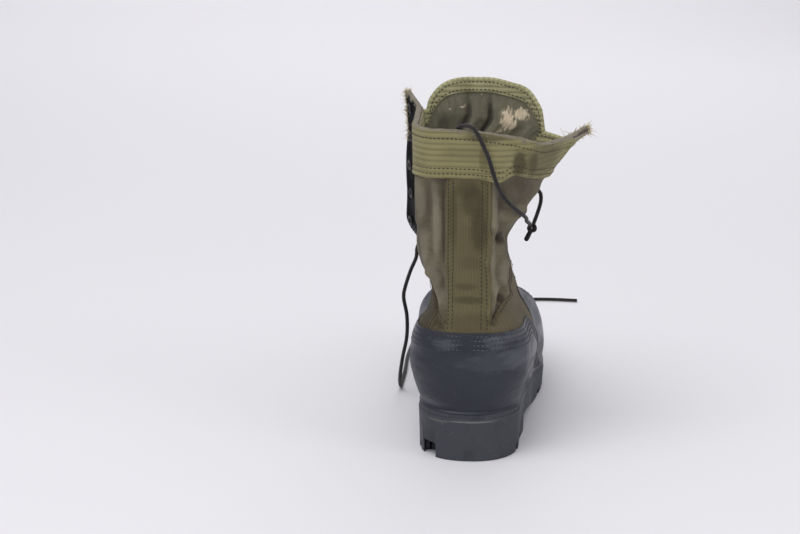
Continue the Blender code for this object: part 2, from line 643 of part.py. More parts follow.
def make_tongue(skin, finishes):
    def sheet(bm):
        grid = [[bm.verts.new(tongue_point(skin, at, share)) for share in TONGUE_GRID] for at in TONGUE_RINGS]
        for low, high in zip(grid, grid[1:]):
            for i in range(len(TONGUE_GRID) - 1):
                bm.faces.new((low[i], low[i + 1], high[i + 1], high[i]))
        left, right = TONGUE_GRID[TONGUE_BODY[0]], TONGUE_GRID[TONGUE_BODY[-1]]
        feet = [grid[-1][i] for i in TONGUE_BODY]
        low = feet
        for row in TONGUE_ROWS:
            high = []
            for foot, i in zip(feet, TONGUE_BODY):
                across = 2 * (TONGUE_GRID[i] - left) / (right - left) - 1
                rise = TONGUE_RISE * row * (1 - 0.70 * abs(across) ** 4)
                high.append(bm.verts.new(foot.co + Vector((0.0, 0.0, rise))))
            for i in range(len(low) - 1):
                bm.faces.new((low[i], low[i + 1], high[i + 1], high[i]))
            low = high

    tongue = add_object("tongue", sheet, finishes["canvas"])
    wall = tongue.modifiers.new("wall", "SOLIDIFY")
    wall.thickness = TONGUE_THICKNESS
    wall.offset = 1
    wall.use_even_offset = True
    wall.use_quality_normals = True


def turned_ring(bm, profile, sides):
    """Spins a closed profile of (radius, height) round Z."""
    rings = []
    for k in range(sides):
        a = 2 * math.pi * k / sides
        rings.append([bm.verts.new((r * math.cos(a), r * math.sin(a), z)) for r, z in profile])
    for k in range(sides):
        low, high = rings[k], rings[(k + 1) % sides]
        for i in range(len(profile)):
            j = (i + 1) % len(profile)
            bm.faces.new((low[i], high[i], high[j], low[j]))


def eyelet_ring(side, index):
    """The ring of an eyelet, counted from the lowest pair, evenly spaced along the lacing edge.
    Halves are between two eyelets."""
    place = 1 - EYELET_INSET / HALF_GIRTH
    rings = [mix(THROAT, 1.0, k / EDGE_STEPS) for k in range(EDGE_STEPS + 1)]
    points = [skin_point(side, at, place) for at in rings]
    lengths = [0.0]
    for a, b in zip(points, points[1:]):
        lengths.append(lengths[-1] + (b - a).length)
    wanted = mix(FIRST_EYELET, lengths[-1] - LAST_EYELET, index / (EYELET_PAIRS - 1))
    k = max(i for i in range(EDGE_STEPS) if lengths[i] <= wanted)
    return mix(rings[k], rings[k + 1], (wanted - lengths[k]) / (lengths[k + 1] - lengths[k]))


def fit_ring(skin, pieces, name, seat_at, sizes, targets, finish, sides=8):
    """A turned metal ring through the leather and the canvas, and its hole in each of them."""
    side, at, place = seat_at
    hole, flange, bore = sizes
    point, out, top, bottom = skin.seat(side, at, place, flange, hole)
    turned = Matrix.Translation(point) @ out.to_track_quat("Z", "Y").to_matrix().to_4x4()
    top += FIT_GAP

    def ring(bm):
        barrel = hole - FIT_GAP
        turned_ring(bm, ((bore, bottom), (barrel, bottom), (barrel, top), (flange, top),
                         (bore, top + EYELET_LIP)), sides)

    def drill(bm):
        bmesh.ops.create_cone(bm, segments=sides, radius1=hole, radius2=hole, depth=2 * SEAT_REACH, cap_ends=True)

    fitting = add_object(name, ring, finish)
    fitting.matrix_world = turned
    cutter = add_object(name + "_hole", drill, finish)
    cutter.matrix_world = turned @ Matrix.Rotation(math.pi / sides, 4, "Z") if sides % 2 else turned
    for target in targets:
        combine(pieces[target], cutter, "DIFFERENCE")
    return point + out * (top + EYELET_LIP), out


def make_fittings(skin, pieces, finishes):
    """Eyelets and vents. Gives each eyelet's outer rim as a point and the way out."""
    rims = {}
    for side in (INNER, OUTER):
        for index in range(EYELET_PAIRS):
            name = "eyelet_%s_%d" % (SIDE_NAMES[side], index + 1)
            seat_at = (side, eyelet_ring(side, index), 1 - EYELET_INSET / HALF_GIRTH)
            rims[side, index] = fit_ring(skin, pieces, name, seat_at,
                                         (EYELET_HOLE, EYELET_FLANGE, EYELET_BORE),
                                         ("upper", "eyestay_" + SIDE_NAMES[side]), finishes["eyelet"])
    for number, vent in enumerate(VENTS, start=1):
        fit_ring(skin, pieces, "vent_%d" % number, (INNER, vent.at, vent.place),
                 (VENT_HOLE, VENT_FLANGE, VENT_BORE), ("upper", "vamp"), finishes["eyelet"], sides=10)
    return rims


def tube(bm, points, radius, sides=8):
    """A closed round bar along the points."""
    rings = []
    for i, point in enumerate(points):
        heading = points[min(i + 1, len(points) - 1)] - points[max(i - 1, 0)]
        turned = heading.to_track_quat("Z", "Y").to_matrix()
        rings.append([bm.verts.new(point + turned @ Vector((radius * math.cos(a), radius * math.sin(a), 0.0)))
                      for a in (2 * math.pi * k / sides for k in range(sides))])
    close_fan(bm, rings)


def smooth_route(route, step):
    """Points at even steps along a smooth curve through the route's own points."""
    ends = [2 * route[0] - route[1], *route, 2 * route[-1] - route[-2]]
    fine = []
    for a, b, c, d in zip(ends, ends[1:], ends[2:], ends[3:]):
        for k in range(16):
            t = k / 16
            fine.append(0.5 * (2 * b + (c - a) * t + (2 * a - 5 * b + 4 * c - d) * t ** 2
                               + (3 * b - a - 3 * c + d) * t ** 3))
    fine.append(route[-1])
    lengths = [0.0]
    for a, b in zip(fine, fine[1:]):
        lengths.append(lengths[-1] + (b - a).length)
    count = max(2, round(lengths[-1] / step))
    points, i = [], 0
    for k in range(count + 1):
        wanted = lengths[-1] * k / count
        while i < len(fine) - 2 and lengths[i + 1] < wanted:
            i += 1
        points.append(fine[i].lerp(fine[i + 1], clamp((wanted - lengths[i]) / (lengths[i + 1] - lengths[i]))))
    return points


def make_crossings(skin, finishes):
    """The lace over the tongue, between the lacing edges: a bar at the lowest pair, and a cross from
    each laced pair to the next."""
    def middle(index):
        at = (eyelet_ring(INNER, index) + eyelet_ring(OUTER, index)) / 2
        return lacing_middle(at, LACE_RADIUS)

    def end_near(side, index, target):
        """Where a strand ends, as near to the lacing edge as its flat end can stand."""
        edge = skin_point(side, eyelet_ring(side, index), 1.0)
        heading = (target - edge).normalized()
        turned = heading.to_track_quat("Z", "Y").to_matrix()
        rim = [turned @ Vector((LACE_RADIUS * math.cos(a), LACE_RADIUS * math.sin(a), 0.0))
               for a in (math.pi * k / 4 for k in range(8))]

        def room(distance):
            spots = [edge + heading * distance + spot for spot in rim]
            return min(tree.find_nearest(spot)[3] for tree in (skin.inside, skin.outside) for spot in spots)

        distance = (target - edge).length * 0.6
        while distance > 0 and room(distance) > STRAND_GAP:
            distance -= FIT_GAP
        return edge + heading * (distance + FIT_GAP)

    def strand(bm, side, low, high):
        over = middle((low + high) / 2)
        start, end = end_near(side, low, over), end_near(-side, high, over)
        bend = 2 * over - (start + end) / 2
        tube(bm, [start.lerp(bend, t).lerp(bend.lerp(end, t), t) for t in (k / 6 for k in range(7))], LACE_RADIUS)

    add_object("lace_bar", lambda bm: strand(bm, INNER, 0, 0), finishes["lace"])
    for k in range(LACED_PAIRS - 1):
        low, high = k + 0.25, k + 0.75
        cross = add_object("lace_cross_%d" % (k + 1), lambda bm: strand(bm, INNER, low, high), finishes["lace"])
        over = add_object("lace_over_%d" % (k + 1), lambda bm: strand(bm, OUTER, low, high), finishes["lace"])
        combine(cross, over, "UNION")


def make_cord(name, route, finish):
    """A free stretch of lace along a smooth curve through the route's points."""
    points = smooth_route([Vector(point) for point in route], LACE_STEP)
    line = bpy.data.curves.new(name, "CURVE")
    line.dimensions = "3D"
    line.bevel_depth = LACE_RADIUS
    line.bevel_resolution = 2
    line.use_fill_caps = True
    spline = line.splines.new("POLY")
    spline.points.add(len(points) - 1)
    for spot, point in zip(spline.points, points):
        spot.co = (point.x, point.y, max(point.z, LACE_RADIUS + FIT_GAP), 1.0)
    line.materials.append(finish)
    bpy.context.scene.collection.objects.link(bpy.data.objects.new(name, line))


def make_lace_ends(skin, rims, finishes):
    """The free lace. The outer end hangs from the sixth eyelet to a knot, from which its tail lies
    up the shaft, over the collar and down inside. The inner end hangs from the fourth eyelet and
    lies on the floor round the toe."""
    lace = finishes["lace"]
    knot = Vector((0.0441, 0.0340, 0.1622))
    tail_heading = Vector((-0.42, 0.0, -0.90)).normalized()

    def ball(bm):
        bmesh.ops.create_icosphere(bm, subdivisions=2, radius=KNOT_RADIUS, matrix=Matrix.Translation(knot))

    def tail(bm):
        tube(bm, [knot + tail_heading * KNOT_TAIL * t for t in (0.1, 0.5, 1.0)], LACE_RADIUS * 1.15)

    combine(add_object("lace_knot", ball, lace), add_object("lace_knot_tail", tail, lace), "UNION")

    def out_of(rim):
        point, out = rim
        return point + out * FIT_GAP, point + out * 2 * LACE_RADIUS

    def at_knot(towards):
        return knot + (Vector(towards) - knot).normalized() * (KNOT_RADIUS + FIT_GAP)

    make_cord("lace_end_outer", (
        *out_of(rims[OUTER, 5]), (0.0390, 0.0680, 0.1835), (0.0480, 0.0610, 0.1860), (0.0502, 0.0530, 0.1805),
        (0.0485, 0.0450, 0.1735), at_knot((0.0466, 0.0400, 0.1686))), lace)
    room = LACE_RADIUS + LEATHER / 2
    up_the_shaft = ((0.0385, 0.0120, 0.1780), (0.0325, -0.0080, 0.1880), (0.0330, -0.0200, 0.1975), (0.0240, -0.0290, 0.2065),
                    (0.0180, -0.0330, 0.2150), (0.0150, -0.0370, 0.2260), (0.0115, -0.0385, 0.2350),
                    (0.0080, -0.0390, 0.2420))
    down_inside = ((-0.0115, -0.0260, 0.2430), (-0.0130, -0.0255, 0.2330), (-0.0140, -0.0240, 0.2150),
                   (-0.0150, -0.0225, 0.1950), (-0.0150, -0.0220, 0.1750))
    make_cord("lace_tail", (
        at_knot((0.0422, 0.0300, 0.1670)), *(skin.pushed_out(Vector(point), room) for point in up_the_shaft),
        (0.0040, -0.0380, 0.2500), (-0.0020, -0.0345, 0.2522), (-0.0080, -0.0300, 0.2505),
        *(skin.pushed_in(Vector(point), room) for point in down_inside)), lace)
    floor = LACE_RADIUS + FIT_GAP
    make_cord("lace_end_inner", (
        *out_of(rims[INNER, 3]), (-0.0470, 0.0790, 0.1260), (-0.0522, 0.0840, 0.1130), (-0.0570, 0.0880, 0.0970),
        (-0.0578, 0.0900, 0.0890), (-0.0555, 0.0930, 0.0740), (-0.0560, 0.0980, 0.0550), (-0.0600, 0.1050, 0.0350),
        (-0.0630, 0.1150, 0.0150), (-0.0640, 0.1350, floor), (-0.0640, 0.1750, floor), (-0.0650, 0.2200, floor),
        (-0.0620, 0.2700, floor), (-0.0500, 0.3200, floor), (-0.0300, 0.3650, floor), (0.0000, 0.3950, floor),
        (0.0317, 0.4090, floor), (0.0570, 0.4120, floor), (0.0829, 0.4100, floor)), lace)


def main():
    for old in list(bpy.data.objects):
        bpy.data.objects.remove(old)
    finishes = {
        "canvas": material("canvas", (0.20, 0.19, 0.13), 0.9),
        "black leather": material("black leather", (0.02, 0.022, 0.027), 0.45),
        "olive webbing": material("olive webbing", (0.19, 0.19, 0.075), 0.9),
        "rubber": material("rubber", (0.03, 0.032, 0.036), 0.7),
        "lace": material("lace", (0.015, 0.015, 0.018), 0.7),
        "eyelet": material("eyelet", (0.02, 0.02, 0.02), 0.4, 0.6),
        "insole": material("insole", (0.10, 0.10, 0.08), 0.9),
    }
    skin = Skin()
    make_outsole(finishes)
    make_insole(finishes)
    pieces = make_upper(skin, finishes)
    make_tongue(skin, finishes)
    rims = make_fittings(skin, pieces, finishes)
    make_crossings(skin, finishes)
    make_lace_ends(skin, rims, finishes)


main()
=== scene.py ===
import math
import random
from collections import namedtuple

import bmesh
import bpy
import numpy as np
from mathutils import Matrix, Vector
from mathutils.bvhtree import BVHTree


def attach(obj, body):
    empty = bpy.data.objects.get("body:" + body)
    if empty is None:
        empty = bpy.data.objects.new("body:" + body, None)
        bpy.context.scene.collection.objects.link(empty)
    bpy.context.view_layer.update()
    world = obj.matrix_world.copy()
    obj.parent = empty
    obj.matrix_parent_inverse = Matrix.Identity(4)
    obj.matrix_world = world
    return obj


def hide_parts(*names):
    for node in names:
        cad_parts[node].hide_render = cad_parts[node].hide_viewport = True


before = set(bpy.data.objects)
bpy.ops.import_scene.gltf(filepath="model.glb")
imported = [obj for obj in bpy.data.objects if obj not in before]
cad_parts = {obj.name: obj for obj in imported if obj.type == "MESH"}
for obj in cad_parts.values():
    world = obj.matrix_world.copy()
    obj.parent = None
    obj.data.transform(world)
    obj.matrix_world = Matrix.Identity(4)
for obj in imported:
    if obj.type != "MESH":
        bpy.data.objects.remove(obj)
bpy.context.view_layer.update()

# Camera
# It stands behind the boot and a little to its inner side, about 1.3 m off, and looks down on it
# through a long lens, as the photograph does.
HEEL_BACK = Vector((0.0, -0.038, 0.0))
TOE_OUT, LOOK_DOWN = math.radians(5.0), math.radians(14.6)
CAMERA_HEIGHT, CAMERA_BACK, CAMERA_LEFT = 0.493, 1.3187, 0.0494

ahead = Vector((-math.sin(TOE_OUT), math.cos(TOE_OUT), 0.0))
aside = Vector((math.cos(TOE_OUT), math.sin(TOE_OUT), 0.0))
camera = bpy.data.objects.new("camera", bpy.data.cameras.new("camera"))
camera.data.lens = 85.0
camera.data.sensor_width = 36.0
camera.location = HEEL_BACK - ahead * CAMERA_BACK - aside * CAMERA_LEFT + Vector((0, 0, CAMERA_HEIGHT))
camera.rotation_euler = (math.pi / 2 - LOOK_DOWN, 0.0, TOE_OUT)
bpy.context.scene.collection.objects.link(camera)
bpy.context.scene.camera = camera

# Studio
# A pale table that sweeps up behind the boot, under a wide soft light. A weaker one lights it from
# the right, one from behind, and one brightens the sweep.
bpy.context.scene.view_settings.view_transform = "Standard"
TABLE_SIZE, TABLE_NEAR, SWEEP_START, SWEEP_RADIUS = 7.0, 2.0, 2.2, 1.2
bm = bmesh.new()
bmesh.ops.create_grid(bm, x_segments=1, y_segments=40, size=0.5)
for v in bm.verts:
    length = (v.co.y + 0.5) * TABLE_SIZE
    turned = min(max((length - SWEEP_START - TABLE_NEAR) / SWEEP_RADIUS, 0.0), math.pi / 2)
    beyond = max(length - SWEEP_START - TABLE_NEAR - SWEEP_RADIUS * math.pi / 2, 0.0)
    y = min(length, SWEEP_START + TABLE_NEAR) - TABLE_NEAR + SWEEP_RADIUS * math.sin(turned)
    v.co = Vector((v.co.x * TABLE_SIZE, y, SWEEP_RADIUS * (1 - math.cos(turned)) + beyond))
mesh = bpy.data.meshes.new("table")
bm.to_mesh(mesh)
bm.free()
mesh.shade_smooth()
table_paint = bpy.data.materials.new("pale table")
table_paint.use_nodes = True
shader = table_paint.node_tree.nodes["Principled BSDF"]
shader.inputs["Base Color"].default_value = (0.800, 0.792, 0.815, 1.0)
shader.inputs["Roughness"].default_value = 0.9
mesh.materials.append(table_paint)
table = bpy.data.objects.new("table", mesh)
bpy.context.scene.collection.objects.link(table)

world = bpy.data.worlds.new("studio")
world.use_nodes = True
world.node_tree.nodes["Background"].inputs["Color"].default_value = (0.96, 0.955, 1.0, 1.0)
world.node_tree.nodes["Background"].inputs["Strength"].default_value = 0.55
bpy.context.scene.world = world

Lamp = namedtuple("Lamp", "name place aim size power")
for lamp in (
    Lamp("soft light above", (-0.55, -0.75, 1.75), (0.0, 0.05, 0.10), 1.5, 17.0),
    Lamp("soft light right", (1.30, -0.60, 0.80), (0.0, 0.0, 0.12), 0.8, 3.2),
    Lamp("soft light behind", (0.3, 1.9, 1.6), (0.0, 0.2, 0.0), 1.6, 8.0),
    Lamp("soft light on the sweep", (-0.7, 3.0, 1.7), (-0.55, 2.9, 0.0), 2.2, 16.0),
):
    light = bpy.data.objects.new(lamp.name, bpy.data.lights.new(lamp.name, "AREA"))
    light.data.shape = "DISK"
    light.data.size = lamp.size
    light.data.energy = lamp.power
    light.location = lamp.place
    light.rotation_euler = (Vector(lamp.aim) - Vector(lamp.place)).to_track_quat("-Z", "Y").to_euler()
    bpy.context.scene.collection.objects.link(light)

# The last
# The foot's shape that the upper is pulled over, and the slack shaft above it, as one skin: at runs
# from the sole (0) to the collar (1), and across from the inner lacing edge (-1) to the outer one (1).
UPPER_LENGTH, BALL_WIDTH, HEEL_WIDTH, UPPER_HEIGHT = 0.288, 0.098, 0.0690, 0.211
HEEL_SEAT, HALF_GIRTH = 0.034, 0.130
HEEL_STACK, WAIST_STACK, BALL_STACK, TOE_STACK, TOE_SPRING = 0.0368, 0.0300, 0.0195, 0.0190, 0.0100
CANVAS_WALL = 0.0022
THROAT, WAVE_FROM, LACING_GAP, GAP_OPENS = 0.60, 0.62, 0.011, 0.05
SPREAD_FROM, SPREAD_TO, ROUND_POWER, HEEL_ROUND = 0.15, 0.60, 2.2, 0.56
SHAFT_FROM, SHAFT_FULL, FRONT_LAG = 0.51, 0.68, 0.09
BACKSTAY_EDGE = 0.016 / HALF_GIRTH
EYESTAY_EDGE = 1 - 0.027 / HALF_GIRTH
SIDES = {1: "outer", -1: "inner"}

# The outline's half widths along the foot, as shares of the heel's and the ball's width.
Station = namedtuple("Station", "at centre outer_heel outer_ball inner_heel inner_ball")
STATIONS = (
    Station(0.00, 0.00, 0.50, 0.00, 0.50, 0.00), Station(0.14, 0.00, 0.50, 0.00, 0.50, 0.00),
    Station(0.30, 0.01, 0.44, 0.09, 0.42, 0.05), Station(0.45, 0.02, 0.22, 0.27, 0.20, 0.21),
    Station(0.62, 0.01, 0.00, 0.51, 0.00, 0.47), Station(0.73, -0.02, 0.00, 0.53, 0.00, 0.50),
    Station(0.86, -0.06, 0.00, 0.51, 0.00, 0.48), Station(1.00, -0.10, 0.00, 0.45, 0.00, 0.43),
)
# Where each ring of the foot starts and ends along the foot, how high, and how wide it is.
Ring = namedtuple("Ring", "at back back_h front front_h heel ball toe_round")
RINGS = (
    Ring(0.00, 0.000, 0.000, 1.000, 0.000, 1.00, 0.97, 0.20),
    Ring(0.09, -0.012, 0.085, 1.008, 0.060, 1.17, 1.01, 0.20),
    Ring(0.18, -0.016, 0.160, 1.000, 0.120, 1.26, 0.98, 0.21),
    Ring(0.28, -0.010, 0.235, 0.960, 0.172, 1.22, 0.88, 0.24),
    Ring(0.37, 0.004, 0.300, 0.885, 0.205, 1.08, 0.77, 0.28),
    Ring(0.46, 0.016, 0.350, 0.785, 0.234, 0.92, 0.68, 0.30),
    Ring(0.54, 0.022, 0.410, 0.700, 0.275, 0.84, 0.62, 0.30),
    Ring(0.62, 0.024, 0.480, 0.610, 0.355, 0.82, 0.58, 0.30),
    Ring(0.70, 0.024, 0.560, 0.530, 0.470, 0.82, 0.56, 0.30),
    Ring(0.80, 0.020, 0.690, 0.465, 0.640, 0.82, 0.56, 0.30),
    Ring(0.90, 0.012, 0.850, 0.440, 0.830, 0.82, 0.56, 0.30),
    Ring(1.00, 0.004, 1.000, 0.430, 1.000, 0.82, 0.56, 0.30),
)
# The shaft's plan: flat behind, then a corner with its turn in degrees, then a flare at the lacing edge.
Slack = namedtuple(
    "Slack", "at flat outer_corner outer_turn outer_flare inner_corner inner_turn inner_flare")
SLACKS = (
    Slack(0.54, 0.06, 0.29, 94, 20, 0.34, 93, 10), Slack(0.62, 0.06, 0.26, 94, 22, 0.38, 92, -6),
    Slack(0.70, 0.06, 0.25, 94, 24, 0.41, 90, -20), Slack(0.76, 0.07, 0.26, 95, 30, 0.395, 91, -27),
    Slack(0.82, 0.08, 0.31, 91, 40, 0.39, 92, -27), Slack(0.87, 0.09, 0.34, 84, 46, 0.39, 92, -25),
    Slack(0.92, 0.09, 0.37, 75, 44, 0.38, 92, -24), Slack(0.97, 0.09, 0.40, 66, 20, 0.38, 91, -23),
    Slack(1.00, 0.09, 0.41, 61, 2, 0.38, 90, -22),
)
# How far the collar dips or rises from the back seam (0) to the lacing edge (1).
Wave = namedtuple("Wave", "at outer inner")
COLLAR_WAVE = (
    Wave(0.00, 0.000, 0.000), Wave(0.25, -0.022, 0.004), Wave(0.50, -0.060, 0.004),
    Wave(0.75, -0.062, 0.026), Wave(1.00, -0.052, 0.062),
)
Level = namedtuple("Level", "at height")
SOLE_LEVELS = (
    Level(0.00, HEEL_STACK), Level(0.24, HEEL_STACK), Level(0.44, WAIST_STACK), Level(0.64, BALL_STACK),
    Level(0.78, BALL_STACK), Level(1.00, TOE_STACK + TOE_SPRING),
)


def column(rows, name, x):
    """The column's smooth values at x, through every row of the table."""
    xs = np.array([row.at for row in rows])
    ys = np.array([getattr(row, name) for row in rows], float)
    steep = np.diff(ys) / np.diff(xs)
    slopes = np.zeros(len(xs))
    before, after = steep[:-1], steep[1:]
    both = before * after > 0
    slopes[1:-1][both] = (2 * before * after)[both] / (before + after)[both]
    slopes[-1] = steep[-1]
    x = np.clip(np.asarray(x, float), xs[0], xs[-1])
    i = np.clip(np.searchsorted(xs, x, side="right") - 1, 0, len(xs) - 2)
    step = (xs[1:] - xs[:-1])[i]
    t = (x - xs[i]) / step
    return (ys[i] * (1 + 2 * t) * (1 - t) ** 2 + ys[i + 1] * t * t * (3 - 2 * t)
            + slopes[i] * step * t * (1 - t) ** 2 - slopes[i + 1] * step * t * t * (1 - t))


def smooth(low, high, x):
    t = np.clip((x - low) / (high - low), 0.0, 1.0)
    return t * t * (3 - 2 * t)


def along(share):
    return share * UPPER_LENGTH - HEEL_SEAT


def last_edge(side, y, back, front, heel, ball, toe_round, margin=0.0):
    """X of the last's outline at y, for an outline that runs from back to front."""
    share = (y + HEEL_SEAT) / UPPER_LENGTH
    name = SIDES[side]
    half = (column(STATIONS, name + "_heel", share) * HEEL_WIDTH
            + column(STATIONS, name + "_ball", share) * BALL_WIDTH)
    spread = smooth(SPREAD_FROM, SPREAD_TO, share)
    half = half * (heel + (ball - heel) * spread) + margin

    def end_round(distance, length):
        q = 1 - np.clip(distance / length, 0.0, 1.0)
        return np.maximum(0.0, 1 - q ** ROUND_POWER) ** (1 / ROUND_POWER)

    ends = end_round(y - back, HEEL_WIDTH * HEEL_ROUND) * end_round(front - y, toe_round * UPPER_LENGTH)
    return column(STATIONS, "centre", share) * BALL_WIDTH + side * half * ends


SEAM_PLACES = np.array([
    0.0, BACKSTAY_EDGE / 2, BACKSTAY_EDGE, 0.19, 0.26, 0.33, 0.40, 0.47, 0.54, 0.61, 0.67, 0.73,
    EYESTAY_EDGE, EYESTAY_EDGE + (1 - EYESTAY_EDGE) / 3, 1 - (1 - EYESTAY_EDGE) / 3, 1.0])
SEAM_YS = along(0.0) + (along(1.0) - along(0.0)) * (1 - np.cos(np.pi * SEAM_PLACES)) / 2
SEAM_ZS = column(SOLE_LEVELS, "height", (SEAM_YS + HEEL_SEAT) / UPPER_LENGTH)


def sole_top(y):
    """Height of the sole's upper face."""
    return np.interp(y, SEAM_YS, SEAM_ZS)


def skin_row(side, at, places):
    """One ring of the skin on one side, from the back seam to the lacing edge."""
    ring = {name: float(column(RINGS, name, at)) for name in Ring._fields[1:]}
    back, front = along(ring["back"]), along(ring["front"])
    rise = (1 - np.cos(np.pi * places)) / 2
    y = back + (front - back) * rise
    x = last_edge(side, y, back, front, ring["heel"], ring["ball"], ring["toe_round"])
    x = x + side * LACING_GAP * smooth(THROAT, THROAT + GAP_OPENS, at) * places ** 4
    row = {key: float(column(SLACKS, key, at)) for key in Slack._fields[1:]}
    name = SIDES[side]
    steps = 400
    s = (np.arange(steps) + 0.5) / steps
    corner = smooth(row["flat"], row["flat"] + row[name + "_corner"], s)
    heading = (math.radians(row[name + "_turn"]) * corner
               + math.radians(row[name + "_flare"]) * smooth(EYESTAY_EDGE - 0.09, EYESTAY_EDGE + 0.04, s))
    marks = np.linspace(0.0, 1.0, steps + 1)
    sx = np.interp(places, marks, np.concatenate([[0.0], np.cumsum(np.cos(heading))]) * HALF_GIRTH / steps)
    sy = np.interp(places, marks, np.concatenate([[0.0], np.cumsum(np.sin(heading))]) * HALF_GIRTH / steps)
    t = smooth(SHAFT_FROM + FRONT_LAG * places, SHAFT_FULL + FRONT_LAG * places, at)
    x = x + (side * sx - x) * t
    y = y + (back + sy - y) * t
    height = ring["back_h"] + (ring["front_h"] - ring["back_h"]) * rise
    height = height + column(COLLAR_WAVE, name, places) * smooth(WAVE_FROM, 1.0, at)
    foot = sole_top(y) + 0.0003
    return np.stack([x, y, foot + (HEEL_STACK - foot) * at + height * UPPER_HEIGHT], axis=-1)


def normals_of(points):
    across = np.gradient(points, axis=1)
    upward = np.gradient(points, axis=0)
    out = np.cross(across, upward)
    return out / np.maximum(np.linalg.norm(out, axis=-1, keepdims=True), 1e-12)


RING_COUNT, SIDE_COUNT = 321, 161
AT = np.linspace(0.0, 1.0, RING_COUNT)
ACROSS = np.linspace(-1.0, 1.0, 2 * SIDE_COUNT - 1)
places = np.linspace(0.0, 1.0, SIDE_COUNT)
smooth_skin = np.empty((RING_COUNT, len(ACROSS), 3))
for i, at in enumerate(AT):
    smooth_skin[i, :SIDE_COUNT] = skin_row(-1, at, places)[::-1]
    smooth_skin[i, SIDE_COUNT - 1:] = skin_row(1, at, places)

# Creases of wear, placed as soft troughs (-) and ridges (+): each runs from one place to
# another, in metres round from the back seam and above the floor, and is wide at half its depth.
Crease = namedtuple("Crease", "s1 z1 s2 z2 wide deep")
CREASES = (
    # the fold that hangs from the outer side of the collar, its sharp lower end, and the hollow under it
    Crease(0.0175, 0.212, 0.0178, 0.178, 0.0034, 0.0022),
    Crease(0.0178, 0.178, 0.0150, 0.150, 0.0032, 0.0028),
    Crease(0.0150, 0.150, 0.0115, 0.112, 0.0030, 0.0024),
    Crease(0.0225, 0.205, 0.0235, 0.176, 0.0038, -0.0020),
    Crease(0.0215, 0.172, 0.0195, 0.140, 0.0030, -0.0018),
    Crease(0.0270, 0.182, 0.0460, 0.186, 0.0048, 0.0034),
    Crease(0.0520, 0.188, 0.0620, 0.198, 0.0090, 0.0030),
    Crease(0.0640, 0.206, 0.0800, 0.212, 0.0120, 0.0042),
    Crease(0.0230, 0.167, 0.0380, 0.168, 0.0048, -0.0052),
    Crease(0.0240, 0.157, 0.0270, 0.122, 0.0050, 0.0034),
    Crease(0.0320, 0.150, 0.0420, 0.146, 0.0060, 0.0026),
    Crease(0.0330, 0.137, 0.0360, 0.128, 0.0045, -0.0020),
    Crease(0.0350, 0.208, 0.0400, 0.194, 0.0070, -0.0026),
    # the pleats that the ankle pinches towards the backstay's foot
    Crease(0.0240, 0.128, 0.0110, 0.104, 0.0022, -0.0034),
    Crease(0.0180, 0.130, 0.0105, 0.108, 0.0022, 0.0018),
    Crease(-0.0250, 0.122, -0.0120, 0.100, 0.0020, -0.0034),
    Crease(-0.0310, 0.142, -0.0150, 0.106, 0.0030, 0.0030),
    Crease(-0.0210, 0.140, -0.0165, 0.118, 0.0030, -0.0018),
    Crease(-0.0370, 0.176, -0.0300, 0.142, 0.0050, 0.0026),
    Crease(-0.0250, 0.206, -0.0235, 0.146, 0.0034, 0.0020),
    Crease(-0.0195, 0.212, -0.0185, 0.150, 0.0024, -0.0018),
    Crease(-0.0305, 0.208, -0.0300, 0.172, 0.0040, -0.0024),
    Crease(-0.0400, 0.208, -0.0440, 0.180, 0.0060, 0.0024),
    Crease(-0.0480, 0.150, -0.0600, 0.138, 0.0080, -0.0010),
    Crease(-0.0440, 0.162, -0.0640, 0.156, 0.0080, 0.0008),
    Crease(0.0500, 0.160, 0.0660, 0.150, 0.0060, -0.0026),
    Crease(0.0520, 0.142, 0.0700, 0.136, 0.0050, 0.0022),
    Crease(0.0600, 0.180, 0.0760, 0.172, 0.0060, -0.0022),
    # slack waves in the collar
    Crease(0.0300, 0.238, 0.0300, 0.214, 0.0060, -0.0016),
    Crease(0.0460, 0.234, 0.0440, 0.210, 0.0060, 0.0016),
    Crease(0.0120, 0.248, 0.0130, 0.218, 0.0060, 0.0010),
    Crease(-0.0300, 0.246, -0.0280, 0.212, 0.0070, 0.0014),
    Crease(-0.0140, 0.246, -0.0140, 0.214, 0.0050, -0.0009),
    # softened counter
    Crease(-0.0220, 0.090, -0.0120, 0.084, 0.0060, 0.0009),
    Crease(0.0120, 0.086, 0.0240, 0.078, 0.0070, 0.0010),
    Crease(0.0300, 0.070, 0.0400, 0.060, 0.0060, -0.0009),
    Crease(-0.0060, 0.072, 0.0060, 0.066, 0.0120, -0.0008),
)
WalkCrease = namedtuple("WalkCrease", "y wide deep")
WALK_CREASES = (
    WalkCrease(0.1500, 0.0042, -0.0014), WalkCrease(0.1585, 0.0034, 0.0010),
    WalkCrease(0.1670, 0.0044, -0.0018), WalkCrease(0.1755, 0.0036, 0.0012),
    WalkCrease(0.1840, 0.0042, -0.0013), WalkCrease(0.1925, 0.0040, 0.0007),
)


